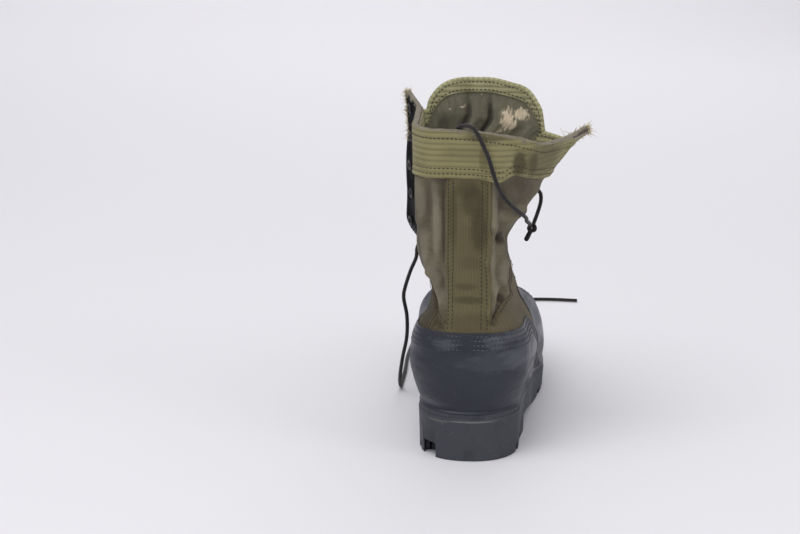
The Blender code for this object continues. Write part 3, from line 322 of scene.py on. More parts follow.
def creased(points):
    """The skin with its creases. Walking creases lie across the vamp at places along the foot."""
    s, z = np.broadcast_to(ACROSS * HALF_GIRTH, points.shape[:2]), points[..., 2]
    lift = np.zeros(points.shape[:2])
    for row in CREASES:
        run = np.array([row.s2 - row.s1, row.z2 - row.z1])
        t = np.clip(((s - row.s1) * run[0] + (z - row.z1) * run[1]) / (run @ run), 0.0, 1.0)
        away = np.hypot(s - row.s1 - t * run[0], z - row.z1 - t * run[1])
        lift += row.deep * np.exp(-(away / row.wide) ** 2)
    # They fade out to the sides, down at the sole and up at the throat.
    front = smooth(0.56, 0.70, np.abs(ACROSS))[None, :] * smooth(0.20, 0.36, AT)[:, None]
    front = front * (1 - smooth(0.56, 0.60, AT))[:, None]
    bow = 0.014 * (np.abs(ACROSS)[None, :] - 0.8)
    for row in WALK_CREASES:
        lift += row.deep * front * np.exp(-((points[..., 1] + bow - row.y) / row.wide) ** 2)
    calm = smooth(0.02, 0.08, AT)[:, None]
    return points + normals_of(points) * (lift * calm)[..., None]


SKIN = creased(smooth_skin)
OUT = normals_of(SKIN)
OUT[0, :, 2] = 0.0
OUT[0] /= np.linalg.norm(OUT[0], axis=-1, keepdims=True)

# Below the throat the two lacing edges are one line down the middle of the vamp.
closed = AT <= THROAT
for grid in (SKIN, OUT):
    grid[closed, 0] = grid[closed, -1] = (grid[closed, 0] + grid[closed, -1]) / 2
OUT /= np.linalg.norm(OUT, axis=-1, keepdims=True)

# Outsole
# Black rubber moulded straight onto the upper: heel block, arched waist and forefoot with lugs, and
# a raised rim round the seam. Its channels are open to the sides.
SOLE_MARGIN, SOLE_TAPER, RIM_HEIGHT, RIM_STEP = 0.0040, 0.0010, 0.0045, 0.0008
SHANK_RISE, HEEL_BLOCK, BREAST_SLOPE = 0.0130, 0.070, 0.004
WAIST_FROM, WAIST_TO, TOE_FROM = 0.27, 0.52, 0.78
CHANNEL_EDGE, SIDE_X, SIDE_REACH, MIDDLE_REACH = 0.0009, 0.46, 0.34, 0.22
SIDE_CHANNELS, MIDDLE_CHANNELS = (0.555, 0.630, 0.705, 0.780, 0.855), (0.595, 0.670, 0.745, 0.820)
HEEL_LUG, FOREFOOT_LUG, HEEL_CHANNEL, FOREFOOT_CHANNEL, CHANNEL_LEAN = 0.0095, 0.0055, 0.0090, 0.0070, 22
Channel = namedtuple("Channel", "at x reach turn width depth")
HEEL_CHANNELS = (
    Channel(0.030, -0.290, 0.26, 84, HEEL_CHANNEL * 1.15, HEEL_LUG * 1.2),
    Channel(0.085, -0.400, 0.22, 0, HEEL_CHANNEL * 0.7, HEEL_LUG * 0.7),
    Channel(0.170, -0.400, 0.22, 0, HEEL_CHANNEL * 0.7, HEEL_LUG * 0.7),
    Channel(0.085, 0.400, 0.22, 0, HEEL_CHANNEL * 0.7, HEEL_LUG * 0.7),
    Channel(0.170, 0.400, 0.22, 0, HEEL_CHANNEL * 0.7, HEEL_LUG * 0.7),
    Channel(0.150, 0.000, 0.26, 0, HEEL_CHANNEL * 0.5, HEEL_LUG * 0.5),
)


def new_group(name, inputs, outputs):
    group = bpy.data.node_groups.new(name, "ShaderNodeTree")
    for label, kind, value in inputs:
        socket = group.interface.new_socket(label, in_out="INPUT", socket_type="NodeSocket" + kind)
        if value is not None:
            socket.default_value = value
    for label, kind in outputs:
        group.interface.new_socket(label, in_out="OUTPUT", socket_type="NodeSocket" + kind)
    return group, group.nodes.new("NodeGroupInput"), group.nodes.new("NodeGroupOutput")


def math_node(nodes, links, operation, a, b=None, c=None):
    node = nodes.new("ShaderNodeMath")
    node.operation = operation
    for k, value in enumerate((a, b, c)):
        if value is None:
            continue
        if isinstance(value, (int, float)):
            node.inputs[k].default_value = value
        else:
            links.new(value, node.inputs[k])
    return node.outputs[0]


def spot_group():
    """An oval spot of colour, for stains and for painted light and shade, with a soft, uneven edge on a flat
    pattern.
    """
    group, inside, outside = new_group("soft spot", (
        ("Place", "Vector", None), ("Centre", "Vector", (0, 0, 0)), ("Size", "Vector", (0.01, 0.01, 1.0)),
        ("Roughen", "Float", 0.5)), (("Mask", "Float"),))
    nodes, links = group.nodes, group.links
    away = nodes.new("ShaderNodeVectorMath")
    away.operation = "SUBTRACT"
    links.new(inside.outputs["Place"], away.inputs[0])
    links.new(inside.outputs["Centre"], away.inputs[1])
    share = nodes.new("ShaderNodeVectorMath")
    share.operation = "DIVIDE"
    links.new(away.outputs[0], share.inputs[0])
    links.new(inside.outputs["Size"], share.inputs[1])
    reach = nodes.new("ShaderNodeVectorMath")
    reach.operation = "LENGTH"
    links.new(share.outputs[0], reach.inputs[0])
    rough = nodes.new("ShaderNodeTexNoise")
    rough.inputs["Scale"].default_value = 260.0
    rough.inputs["Detail"].default_value = 4.0
    links.new(inside.outputs["Place"], rough.inputs["Vector"])
    uneven = math_node(nodes, links, "SUBTRACT", rough.outputs["Fac"], 0.5)
    uneven = math_node(nodes, links, "MULTIPLY", uneven, inside.outputs["Roughen"])
    total = math_node(nodes, links, "ADD", reach.outputs["Value"], uneven)
    edge = nodes.new("ShaderNodeMapRange")
    edge.interpolation_type = "SMOOTHSTEP"
    edge.inputs["From Min"].default_value = 1.15
    edge.inputs["From Max"].default_value = 0.45
    links.new(total, edge.inputs["Value"])
    links.new(edge.outputs["Result"], outside.inputs["Mask"])
    return group


SPOT = spot_group()
PaintedSpot = namedtuple("PaintedSpot", "s z wide high strength")


class Finish:
    """One material being mixed: its colour, roughness and height are built up step by step."""

    def __init__(self, name, colour, roughness, flat=True):
        self.material = bpy.data.materials.new(name)
        self.material.use_nodes = True
        self.nodes, self.links = self.material.node_tree.nodes, self.material.node_tree.links
        self.shader = self.nodes["Principled BSDF"]
        if flat:
            place = self.nodes.new("ShaderNodeUVMap")
            place.uv_map = "cloth"
            self.place = place.outputs["UV"]
        else:
            self.place = self.nodes.new("ShaderNodeTexCoord").outputs["Object"]
        self.colour = (*colour, 1.0)
        self.roughness = roughness
        self.heights = []

    def feed(self, socket, value):
        """Links a pattern to the socket, or sets on it what is the same all over."""
        if isinstance(value, bpy.types.NodeSocket):
            self.links.new(value, socket)
        else:
            socket.default_value = value

    def noise(self, scale, detail=5.0, squash=(1.0, 1.0, 1.0), low=0.35, high=0.65, seed=0.0):
        sized = self.nodes.new("ShaderNodeMapping")
        sized.inputs["Scale"].default_value = squash
        sized.inputs["Location"].default_value = (seed, seed * 0.7, seed * 1.3)
        self.links.new(self.place, sized.inputs["Vector"])
        noise = self.nodes.new("ShaderNodeTexNoise")
        noise.inputs["Scale"].default_value = scale
        noise.inputs["Detail"].default_value = detail
        noise.inputs["Roughness"].default_value = 0.55
        self.links.new(sized.outputs[0], noise.inputs["Vector"])
        spread = self.nodes.new("ShaderNodeMapRange")
        spread.interpolation_type = "SMOOTHSTEP"
        spread.inputs["From Min"].default_value = low
        spread.inputs["From Max"].default_value = high
        self.links.new(noise.outputs["Fac"], spread.inputs["Value"])
        return spread.outputs["Result"]

    def tint(self, mask, colour, strength=1.0):
        """Lays a colour over what is there, where the mask is."""
        mixer = self.nodes.new("ShaderNodeMix")
        mixer.data_type = "RGBA"
        factor = math_node(self.nodes, self.links, "MULTIPLY", mask, strength)
        self.links.new(factor, mixer.inputs["Factor"])
        self.feed(mixer.inputs[6], self.colour)
        mixer.inputs[7].default_value = (*colour, 1.0)
        self.colour = mixer.outputs[2]

    def stains_and_painted_light(self, rows, colour, roughen=0.5):
        for row in rows:
            self.spot((row.s, row.z, 0.0), (row.wide, row.high, 1.0), colour, row.strength, roughen)

    def spot(self, centre, size, colour, strength, roughen):
        spot = self.nodes.new("ShaderNodeGroup")
        spot.node_tree = SPOT
        self.links.new(self.place, spot.inputs["Place"])
        spot.inputs["Centre"].default_value = centre
        spot.inputs["Size"].default_value = size
        spot.inputs["Roughen"].default_value = roughen
        self.tint(spot.outputs["Mask"], colour, strength)

    def weave(self, across, along):
        node = self.nodes.new("ShaderNodeGroup")
        node.node_tree = WEAVE
        self.links.new(self.place, node.inputs["Place"])
        node.inputs["Across"].default_value = across
        node.inputs["Along"].default_value = along
        return node.outputs["Height"]

    def ribs(self, axis, pitch, sharp):
        """Ridges that run square to the axis, pitch apart."""
        parts = self.nodes.new("ShaderNodeSeparateXYZ")
        self.links.new(self.place, parts.inputs[0])
        turned = math_node(self.nodes, self.links, "MULTIPLY", parts.outputs[axis], 2 * math.pi / pitch)
        wave = math_node(self.nodes, self.links, "SINE", turned)
        wave = math_node(self.nodes, self.links, "MULTIPLY_ADD", wave, 0.5, 0.5)
        return math_node(self.nodes, self.links, "POWER", wave, sharp)

    def raise_by(self, height, metres):
        self.heights.append(math_node(self.nodes, self.links, "MULTIPLY", height, metres))

    def vary_roughness(self, mask, low, high):
        spread = self.nodes.new("ShaderNodeMapRange")
        self.links.new(mask, spread.inputs["Value"])
        spread.inputs["To Min"].default_value = low
        spread.inputs["To Max"].default_value = high
        self.roughness = spread.outputs["Result"]

    def done(self, specular, sheen=0.0, coat=0.0, metallic=0.0):
        shader = self.shader
        self.feed(shader.inputs["Base Color"], self.colour)
        self.feed(shader.inputs["Roughness"], self.roughness)
        shader.inputs["Specular IOR Level"].default_value = specular
        shader.inputs["Sheen Weight"].default_value = sheen
        shader.inputs["Sheen Roughness"].default_value = 0.5
        shader.inputs["Coat Weight"].default_value = coat
        shader.inputs["Coat Roughness"].default_value = 0.35
        shader.inputs["Metallic"].default_value = metallic
        if self.heights:
            total = self.heights[0]
            for height in self.heights[1:]:
                total = math_node(self.nodes, self.links, "ADD", total, height)
            node = self.nodes.new("ShaderNodeBump")
            node.inputs["Strength"].default_value = 1.0
            node.inputs["Distance"].default_value = 1.0
            self.links.new(total, node.inputs["Height"])
            self.links.new(node.outputs["Normal"], shader.inputs["Normal"])
        return self.material


def stand_in(piece, slot, *nodes):
    """The piece rides on the boot and takes the place of these nodes."""
    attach(piece, "root")
    if nodes:
        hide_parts(*nodes)
    return piece


def add_piece(name, bm, *finishes):
    mesh = bpy.data.meshes.new(name)
    bm.to_mesh(mesh)
    bm.free()
    mesh.shade_smooth()
    mesh.set_sharp_from_angle(angle=math.radians(40))
    for finish in finishes:
        mesh.materials.append(finish)
    piece = bpy.data.objects.new(name, mesh)
    bpy.context.scene.collection.objects.link(piece)
    return piece


def sole_bottom(y):
    breast = along(0.0) - SOLE_MARGIN + HEEL_BLOCK
    shank = SHANK_RISE * smooth(breast, breast + BREAST_SLOPE, y)
    shank = shank * (1 - smooth(along(WAIST_FROM), along(WAIST_TO), y))
    toe = np.clip((y - along(TOE_FROM)) / (along(1.0) - along(TOE_FROM)), 0.0, 1.0)
    return shank + TOE_SPRING * toe * toe


def rubber_finish():
    rubber = Finish("black rubber", (0.042, 0.046, 0.057), 0.62, flat=False)
    rubber.tint(rubber.noise(14.0, low=0.40, high=0.72), (0.066, 0.069, 0.078), 0.5)
    rubber.tint(rubber.noise(90.0, low=0.55, high=0.75), (0.026, 0.027, 0.031), 0.6)
    rubber.tint(rubber.noise(300.0, low=0.66, high=0.72, seed=3.0), (0.22, 0.21, 0.20), 0.45)
    # Two thin pale bands along the rim round the heel: partly rubbed rubber, partly painted highlight on the
    # rim's edge.
    rubber.spot((0.004, -0.0375, 0.0310), (0.020, 0.030, 0.0009), (0.17, 0.165, 0.16), 0.8, 0.9)
    rubber.spot((-0.022, -0.0300, 0.0300), (0.010, 0.030, 0.0012), (0.13, 0.125, 0.12), 0.6, 1.2)
    rubber.raise_by(rubber.noise(700.0), 0.00008)
    rubber.raise_by(rubber.noise(60.0), 0.00025)
    rubber.vary_roughness(rubber.noise(25.0), 0.50, 0.78)
    return rubber.done(specular=0.4)


RUBBER = rubber_finish()


def plate(name, ys, layers, finish, columns=22):
    """A solid of the last's outline: a grid laid in the outline and drawn up through the layers, each
    a margin outside the last and a height at a y."""
    foot = RINGS[0]
    bm = bmesh.new()
    bmesh.ops.create_grid(bm, x_segments=columns, y_segments=len(ys) - 1, size=0.5)
    share = {v: (v.co.x + 0.5, v.co.y + 0.5) for v in bm.verts}

    def settle(verts, margin, height):
        u = np.array([share[v][0] for v in verts])
        t = np.array([share[v][1] for v in verts])
        back, front = along(0.0) - margin, along(1.0) + margin
        y = np.interp(t * (len(ys) - 1), np.arange(len(ys)), ys)
        y = back + (front - back) * (y - ys[0]) / (ys[-1] - ys[0])
        y = np.clip(y, back + 0.00003, front - 0.00003)
        left, right = (last_edge(side, y, back, front, foot.heel, foot.ball, foot.toe_round, margin)
                       for side in (-1, 1))
        x = left + (right - left) * (1 - np.cos(np.pi * u)) / 2
        for v, point in zip(verts, zip(x, y, height(y))):
            v.co = point

    settle(list(bm.verts), *layers[0])
    region = list(bm.faces)
    for k, layer in enumerate(layers[1:]):
        verts = sorted({v for face in region for v in face.verts}, key=lambda v: v.index)
        where = {tuple(v.co): share[v] for v in verts}
        grown = bmesh.ops.extrude_face_region(bm, geom=region, use_keep_orig=(k == 0))["geom"]
        fresh = [g for g in grown if isinstance(g, bmesh.types.BMVert)]
        for v in fresh:
            share[v] = where[tuple(v.co)]
        settle(fresh, *layer)
        region = [g for g in grown if isinstance(g, bmesh.types.BMFace)]
        bm.verts.index_update()
    bmesh.ops.recalc_face_normals(bm, faces=bm.faces)
    return add_piece(name, bm, finish)


breast = along(0.0) - SOLE_MARGIN + HEEL_BLOCK
low_y, high_y = along(0.0) - SOLE_MARGIN, along(1.0) + SOLE_MARGIN
sole_ys = np.unique(np.concatenate([
    low_y + (high_y - low_y) * (1 - np.cos(np.pi * np.linspace(0, 1, 110))) / 2,
    breast + BREAST_SLOPE * np.linspace(0, 1, 6)]))
outsole = plate("outsole_piece", sole_ys, (
    (SOLE_MARGIN - SOLE_TAPER - 0.0009, sole_bottom),
    (SOLE_MARGIN - SOLE_TAPER - 0.0002, lambda y: sole_bottom(y) + 0.0003),
    (SOLE_MARGIN - SOLE_TAPER, lambda y: sole_bottom(y) + 0.0011),
    (SOLE_MARGIN - 0.0001, lambda y: sole_top(y) - RIM_HEIGHT - 0.0006),
    (SOLE_MARGIN, lambda y: sole_top(y) - RIM_HEIGHT),
    (SOLE_MARGIN - 0.0002, lambda y: sole_top(y) - RIM_HEIGHT + 0.0006),
    (SOLE_MARGIN - RIM_STEP, lambda y: sole_top(y) - RIM_HEIGHT + 0.0009),
    (SOLE_MARGIN - RIM_STEP, lambda y: sole_top(y) - 0.0008),
    (SOLE_MARGIN - RIM_STEP - 0.0006, sole_top),
), RUBBER)


def tread_channels():
    rows = list(HEEL_CHANNELS)
    for at in SIDE_CHANNELS:
        for side in (-1, 1):
            rows.append(Channel(at, side * SIDE_X, SIDE_REACH, -side * CHANNEL_LEAN, FOREFOOT_CHANNEL,
                                FOREFOOT_LUG))
    for at in MIDDLE_CHANNELS:
        rows.append(Channel(at, 0.0, MIDDLE_REACH, 0, FOREFOOT_CHANNEL * 0.6, FOREFOOT_LUG))
    bm = bmesh.new()
    for row in rows:
        y = along(row.at)
        centre = Vector((float(column(STATIONS, "centre", row.at)) * BALL_WIDTH + row.x * BALL_WIDTH, y,
                         float(sole_bottom(y))))
        size = Matrix.Diagonal((row.reach * BALL_WIDTH, row.width, 2 * row.depth, 1.0))
        place = Matrix.Translation(centre) @ Matrix.Rotation(math.radians(row.turn), 4, "Z") @ size
        cube = bmesh.ops.create_cube(bm, size=1.0, matrix=place)["verts"]
        bmesh.ops.bevel(bm, geom=list({e for v in cube for e in v.link_edges}), offset=CHANNEL_EDGE,
                        segments=2, profile=0.5, affect="EDGES", material=-1)
    return add_piece("tread_channels", bm, RUBBER)


def apply_steps(piece):
    """Makes the piece's modifiers part of its mesh."""
    shape = bpy.data.meshes.new_from_object(piece.evaluated_get(bpy.context.evaluated_depsgraph_get()))
    piece.modifiers.clear()
    piece.data = shape


channels = tread_channels()
cut = outsole.modifiers.new("channels", "BOOLEAN")
cut.operation, cut.solver, cut.object, cut.use_self = "DIFFERENCE", "EXACT", channels, True
apply_steps(outsole)
bpy.data.objects.remove(channels)
stand_in(outsole, "sole rubber", "outsole")

# Insole
# A woven mesh inner sole that lets air through. It is cut to the last, a little smaller than the
# upper's inside, and lies loose on the sole.
def insole_finish():
    mesh_cloth = Finish("insole mesh", (0.10, 0.10, 0.08), 0.95, flat=False)
    mesh_cloth.tint(mesh_cloth.noise(30.0), (0.05, 0.045, 0.04), 0.7)
    mesh_cloth.raise_by(mesh_cloth.noise(500.0), 0.0004)
    return mesh_cloth.done(specular=0.1)


INSOLE_MARGIN, INSOLE_THICKNESS = -(CANVAS_WALL + 0.0012), 0.0040
insole_ys = along(0.0) + (along(1.0) - along(0.0)) * (1 - np.cos(np.pi * np.linspace(0, 1, 70))) / 2
insole = plate("insole_piece", insole_ys, (
    (INSOLE_MARGIN, lambda y: sole_top(y) + 0.0003),
    (INSOLE_MARGIN, lambda y: sole_top(y) + 0.0003 + INSOLE_THICKNESS - 0.0008),
    (INSOLE_MARGIN - 0.0008, lambda y: sole_top(y) + 0.0003 + INSOLE_THICKNESS),
), insole_finish())
stand_in(insole, "insole mesh", "insole")

# Holes
# Nine pairs of eyelets are set evenly up the lacing edges, and two vents low on the inner side.
# Canvas and leather are punched at the same places before they are set.
EYELET_PAIRS, EYELET_INSET, FIRST_EYELET, LAST_EYELET = 9, 0.0095, 0.0245, 0.010
EYELET_HOLE, EYELET_FLANGE, EYELET_BORE, VENT_HOLE, VENT_FLANGE = 0.0028, 0.0041, 0.0017, 0.0045, 0.0062
EYELET_LINE = 1 - EYELET_INSET / HALF_GIRTH
VENT_PLACES = ((0.105, -0.455), (0.105, -0.520))


def on_grid(grid, at, across):
    """Even mix of the grid's four points round each place."""
    r = np.clip(np.asarray(at, float), 0, 1) * (grid.shape[0] - 1)
    c = (np.clip(np.asarray(across, float), -1, 1) + 1) / 2 * (grid.shape[1] - 1)
    i, j = np.minimum(r.astype(int), grid.shape[0] - 2), np.minimum(c.astype(int), grid.shape[1] - 2)
    u, v = (r - i)[..., None], (c - j)[..., None]
    return ((grid[i, j] * (1 - v) + grid[i, j + 1] * v) * (1 - u)
            + (grid[i + 1, j] * (1 - v) + grid[i + 1, j + 1] * v) * u)


def on_skin(at, across, lift=0.0):
    out = on_grid(OUT, at, across)
    out /= np.linalg.norm(out, axis=-1, keepdims=True)
    return on_grid(SKIN, at, across) + out * np.asarray(lift, float)[..., None], out


def eyelet_ring(side, index):
    """The ring of an eyelet, counted from the lowest pair, evenly spaced along the lacing edge."""
    rings = np.linspace(THROAT, 1.0, 97)
    points = on_grid(smooth_skin, rings, np.full_like(rings, side * EYELET_LINE))
    lengths = np.concatenate([[0.0], np.cumsum(np.linalg.norm(np.diff(points, axis=0), axis=1))])
    wanted = FIRST_EYELET + (lengths[-1] - LAST_EYELET - FIRST_EYELET) * index / (EYELET_PAIRS - 1)
    return float(np.interp(wanted, lengths, rings))


EYELETS = {(side, k): (eyelet_ring(side, k), side * EYELET_LINE)
           for side in (-1, 1) for k in range(EYELET_PAIRS)}


def punch(bm, holes, radius):
    """Cuts round holes in a sheet at places on the skin."""
    for at, across in holes:
        centre, out = (Vector(a[0]) for a in on_skin([at], [across]))
        near = [f for f in bm.faces if (f.calc_center_median() - centre).length < radius * 0.85]
        rim = {v for f in near for v in f.verts}
        bmesh.ops.delete(bm, geom=near, context="FACES")
        for v in [v for v in rim if v.is_valid]:
            away = v.co - centre
            up = out * away.dot(out)
            flat = away - up
            if flat.length > 1e-6:
                v.co = centre + up + flat.normalized() * radius

# Upper
# One wall of cotton and nylon canvas, lined, sewn up the back and open down the front; under the
# leather it is the leather's own backing.
def laid_cloth(columns, rows, left, right, low, high, lift, surface=on_skin, gather=0.0):
    """A sheet laid on the skin between two places round it and two rings. Each edge is a number, or
    a function of the other direction. Its cloth map holds metres round and metres up. gather sets
    the columns closer in the middle."""
    bm = bmesh.new()
    bmesh.ops.create_grid(bm, x_segments=columns, y_segments=rows, size=0.5)
    bm.verts.ensure_lookup_table()
    u = np.array([v.co.x + 0.5 for v in bm.verts])
    u = u + gather * np.sin(2 * np.pi * u) / (2 * np.pi)
    w = np.array([v.co.y + 0.5 for v in bm.verts])

    def edge(value, x):
        return value(x) if callable(value) else np.full_like(x, value)

    across = edge(left, w) + (edge(right, w) - edge(left, w)) * u
    bottom, top = edge(low, across), edge(high, across)
    at = bottom + (top - bottom) * w
    points, _ = surface(at, across, edge(lift, across))
    layer = bm.loops.layers.uv.new("cloth")
    for v, point in zip(bm.verts, points):
        v.co = point
    flat = {v: (c * HALF_GIRTH, p[2]) for v, c, p in zip(bm.verts, across, points)}
    for face in bm.faces:
        for loop in face.loops:
            loop[layer].uv = flat[loop.vert]
    return bm


def thicken(piece, thickness, edge=0.0004, rim=0):
    """Gives a sheet its thickness, inwards, with softened edges. rim is the material of its edges."""
    wall = piece.modifiers.new("wall", "SOLIDIFY")
    wall.thickness = thickness
    wall.offset = -1.0
    wall.material_offset_rim = rim
    if edge:
        soft = piece.modifiers.new("soft edge", "BEVEL")
        soft.width = edge
        soft.segments = 2
        soft.limit_method = "ANGLE"
        soft.angle_limit = math.radians(50)
    return piece


def weave_group():
    """Threads over and under, as a height, on a flat pattern in metres."""
    group, inside, outside = new_group("weave", (
        ("Place", "Vector", None), ("Across", "Float", 1500.0), ("Along", "Float", 1500.0)),
        (("Height", "Float"),))
    nodes, links = group.nodes, group.links
    parts = nodes.new("ShaderNodeSeparateXYZ")
    links.new(inside.outputs["Place"], parts.inputs[0])
    waves = []
    for label, axis in (("Across", 0), ("Along", 1)):
        turned = math_node(nodes, links, "MULTIPLY", parts.outputs[axis], inside.outputs[label])
        turned = math_node(nodes, links, "MULTIPLY", turned, 2 * math.pi)
        waves.append(math_node(nodes, links, "SINE", turned))
    both = math_node(nodes, links, "MULTIPLY", waves[0], waves[1])
    links.new(math_node(nodes, links, "MULTIPLY_ADD", both, 0.5, 0.5), outside.inputs["Height"])
    return group


WEAVE = weave_group()


def canvas_finish():
    canvas = Finish("faded canvas", (0.150, 0.131, 0.088), 0.92)
    canvas.tint(canvas.noise(28.0, low=0.35, high=0.70), (0.200, 0.178, 0.124), 0.60)
    canvas.tint(canvas.noise(60.0, low=0.45, high=0.75, seed=2.0), (0.082, 0.068, 0.047), 0.60)
    canvas.tint(canvas.noise(420.0, low=0.40, high=0.66, seed=5.0), (0.23, 0.21, 0.15), 0.25)
    # Darker spots: most lie along the troughs of the creases, the pleats at the backstay's foot and the
    # hollow under the outer fold, as painted shade; the broad ones darken patches of the sides.
    canvas.stains_and_painted_light((
        PaintedSpot(0.036, 0.200, 0.026, 0.014, 0.40), PaintedSpot(0.027, 0.1675, 0.008, 0.0055, 0.90),
        PaintedSpot(0.030, 0.152, 0.010, 0.012, 0.35), PaintedSpot(-0.040, 0.176, 0.012, 0.030, 0.40),
        PaintedSpot(-0.020, 0.208, 0.006, 0.014, 0.35), PaintedSpot(0.013, 0.106, 0.010, 0.012, 0.45),
        PaintedSpot(-0.014, 0.106, 0.010, 0.010, 0.45), PaintedSpot(0.0225, 0.190, 0.003, 0.018, 0.50),
        PaintedSpot(-0.0200, 0.1115, 0.0028, 0.0040, 0.85), PaintedSpot(-0.0160, 0.1065, 0.0028, 0.0040, 0.85),
        PaintedSpot(-0.0120, 0.1020, 0.0028, 0.0040, 0.85), PaintedSpot(0.0215, 0.1200, 0.0026, 0.0045, 0.85),
        PaintedSpot(0.0175, 0.1145, 0.0026, 0.0045, 0.85), PaintedSpot(0.0135, 0.1085, 0.0026, 0.0045, 0.85),
        PaintedSpot(-0.0190, 0.180, 0.0016, 0.034, 0.60), PaintedSpot(-0.0200, 0.128, 0.0022, 0.014, 0.45),
        PaintedSpot(0.0300, 0.156, 0.004, 0.006, 0.30), PaintedSpot(-0.0310, 0.194, 0.004, 0.016, 0.40),
    ), (0.055, 0.044, 0.033))
    # Paler spots along the ridges of the creases: partly cloth worn pale, partly painted highlight on the
    # ridges.
    canvas.stains_and_painted_light((
        PaintedSpot(-0.0275, 0.1330, 0.0060, 0.0160, 0.60), PaintedSpot(-0.0210, 0.1200, 0.0045, 0.0100, 0.60),
        PaintedSpot(0.0172, 0.1350, 0.0032, 0.0300, 0.65), PaintedSpot(0.0178, 0.1900, 0.0028, 0.0200, 0.50),
        PaintedSpot(-0.0240, 0.1780, 0.0035, 0.0300, 0.55), PaintedSpot(-0.0380, 0.1950, 0.0050, 0.0180, 0.45),
        PaintedSpot(-0.0340, 0.1600, 0.0050, 0.0160, 0.50), PaintedSpot(0.0260, 0.1420, 0.0060, 0.0120, 0.50),
        PaintedSpot(0.0400, 0.1880, 0.0120, 0.0040, 0.35), PaintedSpot(0.0230, 0.1850, 0.0030, 0.0060, 0.40)),
                  (0.265, 0.242, 0.176))
    canvas.raise_by(canvas.weave(900.0, 900.0), 0.00016)
    canvas.raise_by(canvas.noise(1500.0, detail=2.0), 0.00012)
    canvas.raise_by(canvas.noise(70.0, squash=(1.0, 0.45, 1.0)), 0.0007)
    return canvas.done(specular=0.10, sheen=0.08)


def rim_finish():
    rim = Finish("raw canvas edge", (0.26, 0.228, 0.168), 0.95)
    rim.tint(rim.noise(260.0, low=0.40, high=0.62), (0.17, 0.145, 0.105), 0.7)
    rim.raise_by(rim.noise(1400.0), 0.0003)
    return rim.done(specular=0.1, sheen=0.2)


CANVAS, RAW_EDGE = canvas_finish(), rim_finish()
bm = laid_cloth(210, 210, -1.0, 1.0, 0.0, 1.0, 0.0, gather=0.55)
bmesh.ops.remove_doubles(bm, verts=bm.verts, dist=0.00002)
punch(bm, EYELETS.values(), EYELET_HOLE)
punch(bm, VENT_PLACES, VENT_HOLE)
upper = thicken(add_piece("upper_piece", bm, CANVAS, RAW_EDGE), CANVAS_WALL, edge=0.0, rim=1)
stand_in(upper, "canvas", "upper")

# Leather
# Black full-grain leather, waxed and scuffed grey: heel counter, vamp with its toe, and the two lacing
# strips. Each piece is sewn on the canvas and shows a thin cut edge.
LEATHER, VAMP_AT = 0.0018, 0.62
LIFT = LEATHER + 0.0001
COUNTER_TOP_Z = HEEL_STACK + 0.0632
COUNTER_TOP = (along(-0.10), COUNTER_TOP_Z + 0.0005, along(0.22), COUNTER_TOP_Z - 0.0055)
COUNTER_SLOPE = (along(0.22), COUNTER_TOP_Z - 0.0055, along(0.39), HEEL_STACK + 0.026)
LEATHER_SEAM = (along(0.39), 0.0, along(0.39), HEEL_STACK)
VAMP_SLOPE = (along(0.39), HEEL_STACK + 0.024, along(0.50), HEEL_STACK + 0.100)


def cut_along(bm, plane):
    point, normal = plane
    geometry = bm.verts[:] + bm.edges[:] + bm.faces[:]
    bmesh.ops.bisect_plane(bm, geom=geometry, plane_co=point, plane_no=normal, clear_outer=True)


def left_of(y1, z1, y2, z2):
    """The plane that cuts away what lies left of the line from (y1, z1) to (y2, z2), seen from +X."""
    return Vector((0.0, y1, z1)), Vector((0.0, z1 - z2, y2 - y1)).normalized()


def right_of(y1, z1, y2, z2):
    return left_of(y2, z2, y1, z1)


def leather_finish(name, scuffs_and_sheen, colour=(0.013, 0.016, 0.026), worn=(0.034, 0.040, 0.058), gloss=1.0):
    leather = Finish(name, colour, 0.42)
    leather.tint(leather.noise(24.0, low=0.42, high=0.75), worn, 0.55)
    leather.tint(leather.noise(170.0, low=0.62, high=0.75, seed=4.0), [3.2 * part for part in worn], 0.22)
    leather.tint(leather.noise(650.0, low=0.69, high=0.74, seed=7.0), [6.0 * part for part in worn], 0.22)
    # Grey scuffs, and on the counter also a painted sheen.
    leather.stains_and_painted_light(scuffs_and_sheen, (0.120, 0.128, 0.150), roughen=1.3)
    leather.raise_by(leather.noise(1100.0, detail=3.0), 0.00010)
    leather.raise_by(leather.noise(120.0), 0.00022)
    leather.vary_roughness(leather.noise(50.0), 0.34, 0.62)
    return leather.done(specular=0.40 * gloss, coat=0.14 * gloss)


def cut_edge_finish():
    edge = Finish("cut leather edge", (0.13, 0.11, 0.09), 0.85)
    edge.tint(edge.noise(400.0), (0.05, 0.045, 0.04), 0.8)
    return edge.done(specular=0.2)


CUT_EDGE = cut_edge_finish()
COUNTER_LEATHER = leather_finish("counter leather", (
    PaintedSpot(-0.008, 0.0900, 0.0050, 0.0050, 0.30), PaintedSpot(0.009, 0.0910, 0.0045, 0.0055, 0.36),
    # The broad faint pale spot at 0.010 round and 0.078 up is a painted sheen on the back of the counter.
    PaintedSpot(0.010, 0.078, 0.014, 0.010, 0.20), PaintedSpot(0.022, 0.080, 0.012, 0.012, 0.30),
    PaintedSpot(0.030, 0.066, 0.006, 0.020, 0.40), PaintedSpot(-0.024, 0.050, 0.005, 0.007, 0.18),
    PaintedSpot(-0.018, 0.0430, 0.012, 0.0022, 0.30), PaintedSpot(0.030, 0.050, 0.010, 0.010, 0.15),
    PaintedSpot(0.022, 0.094, 0.014, 0.004, 0.40)))
VAMP_LEATHER = leather_finish("vamp leather", (
    PaintedSpot(0.072, 0.060, 0.010, 0.020, 0.5), PaintedSpot(-0.080, 0.050, 0.010, 0.014, 0.4),
    PaintedSpot(0.100, 0.050, 0.020, 0.020, 0.3)))
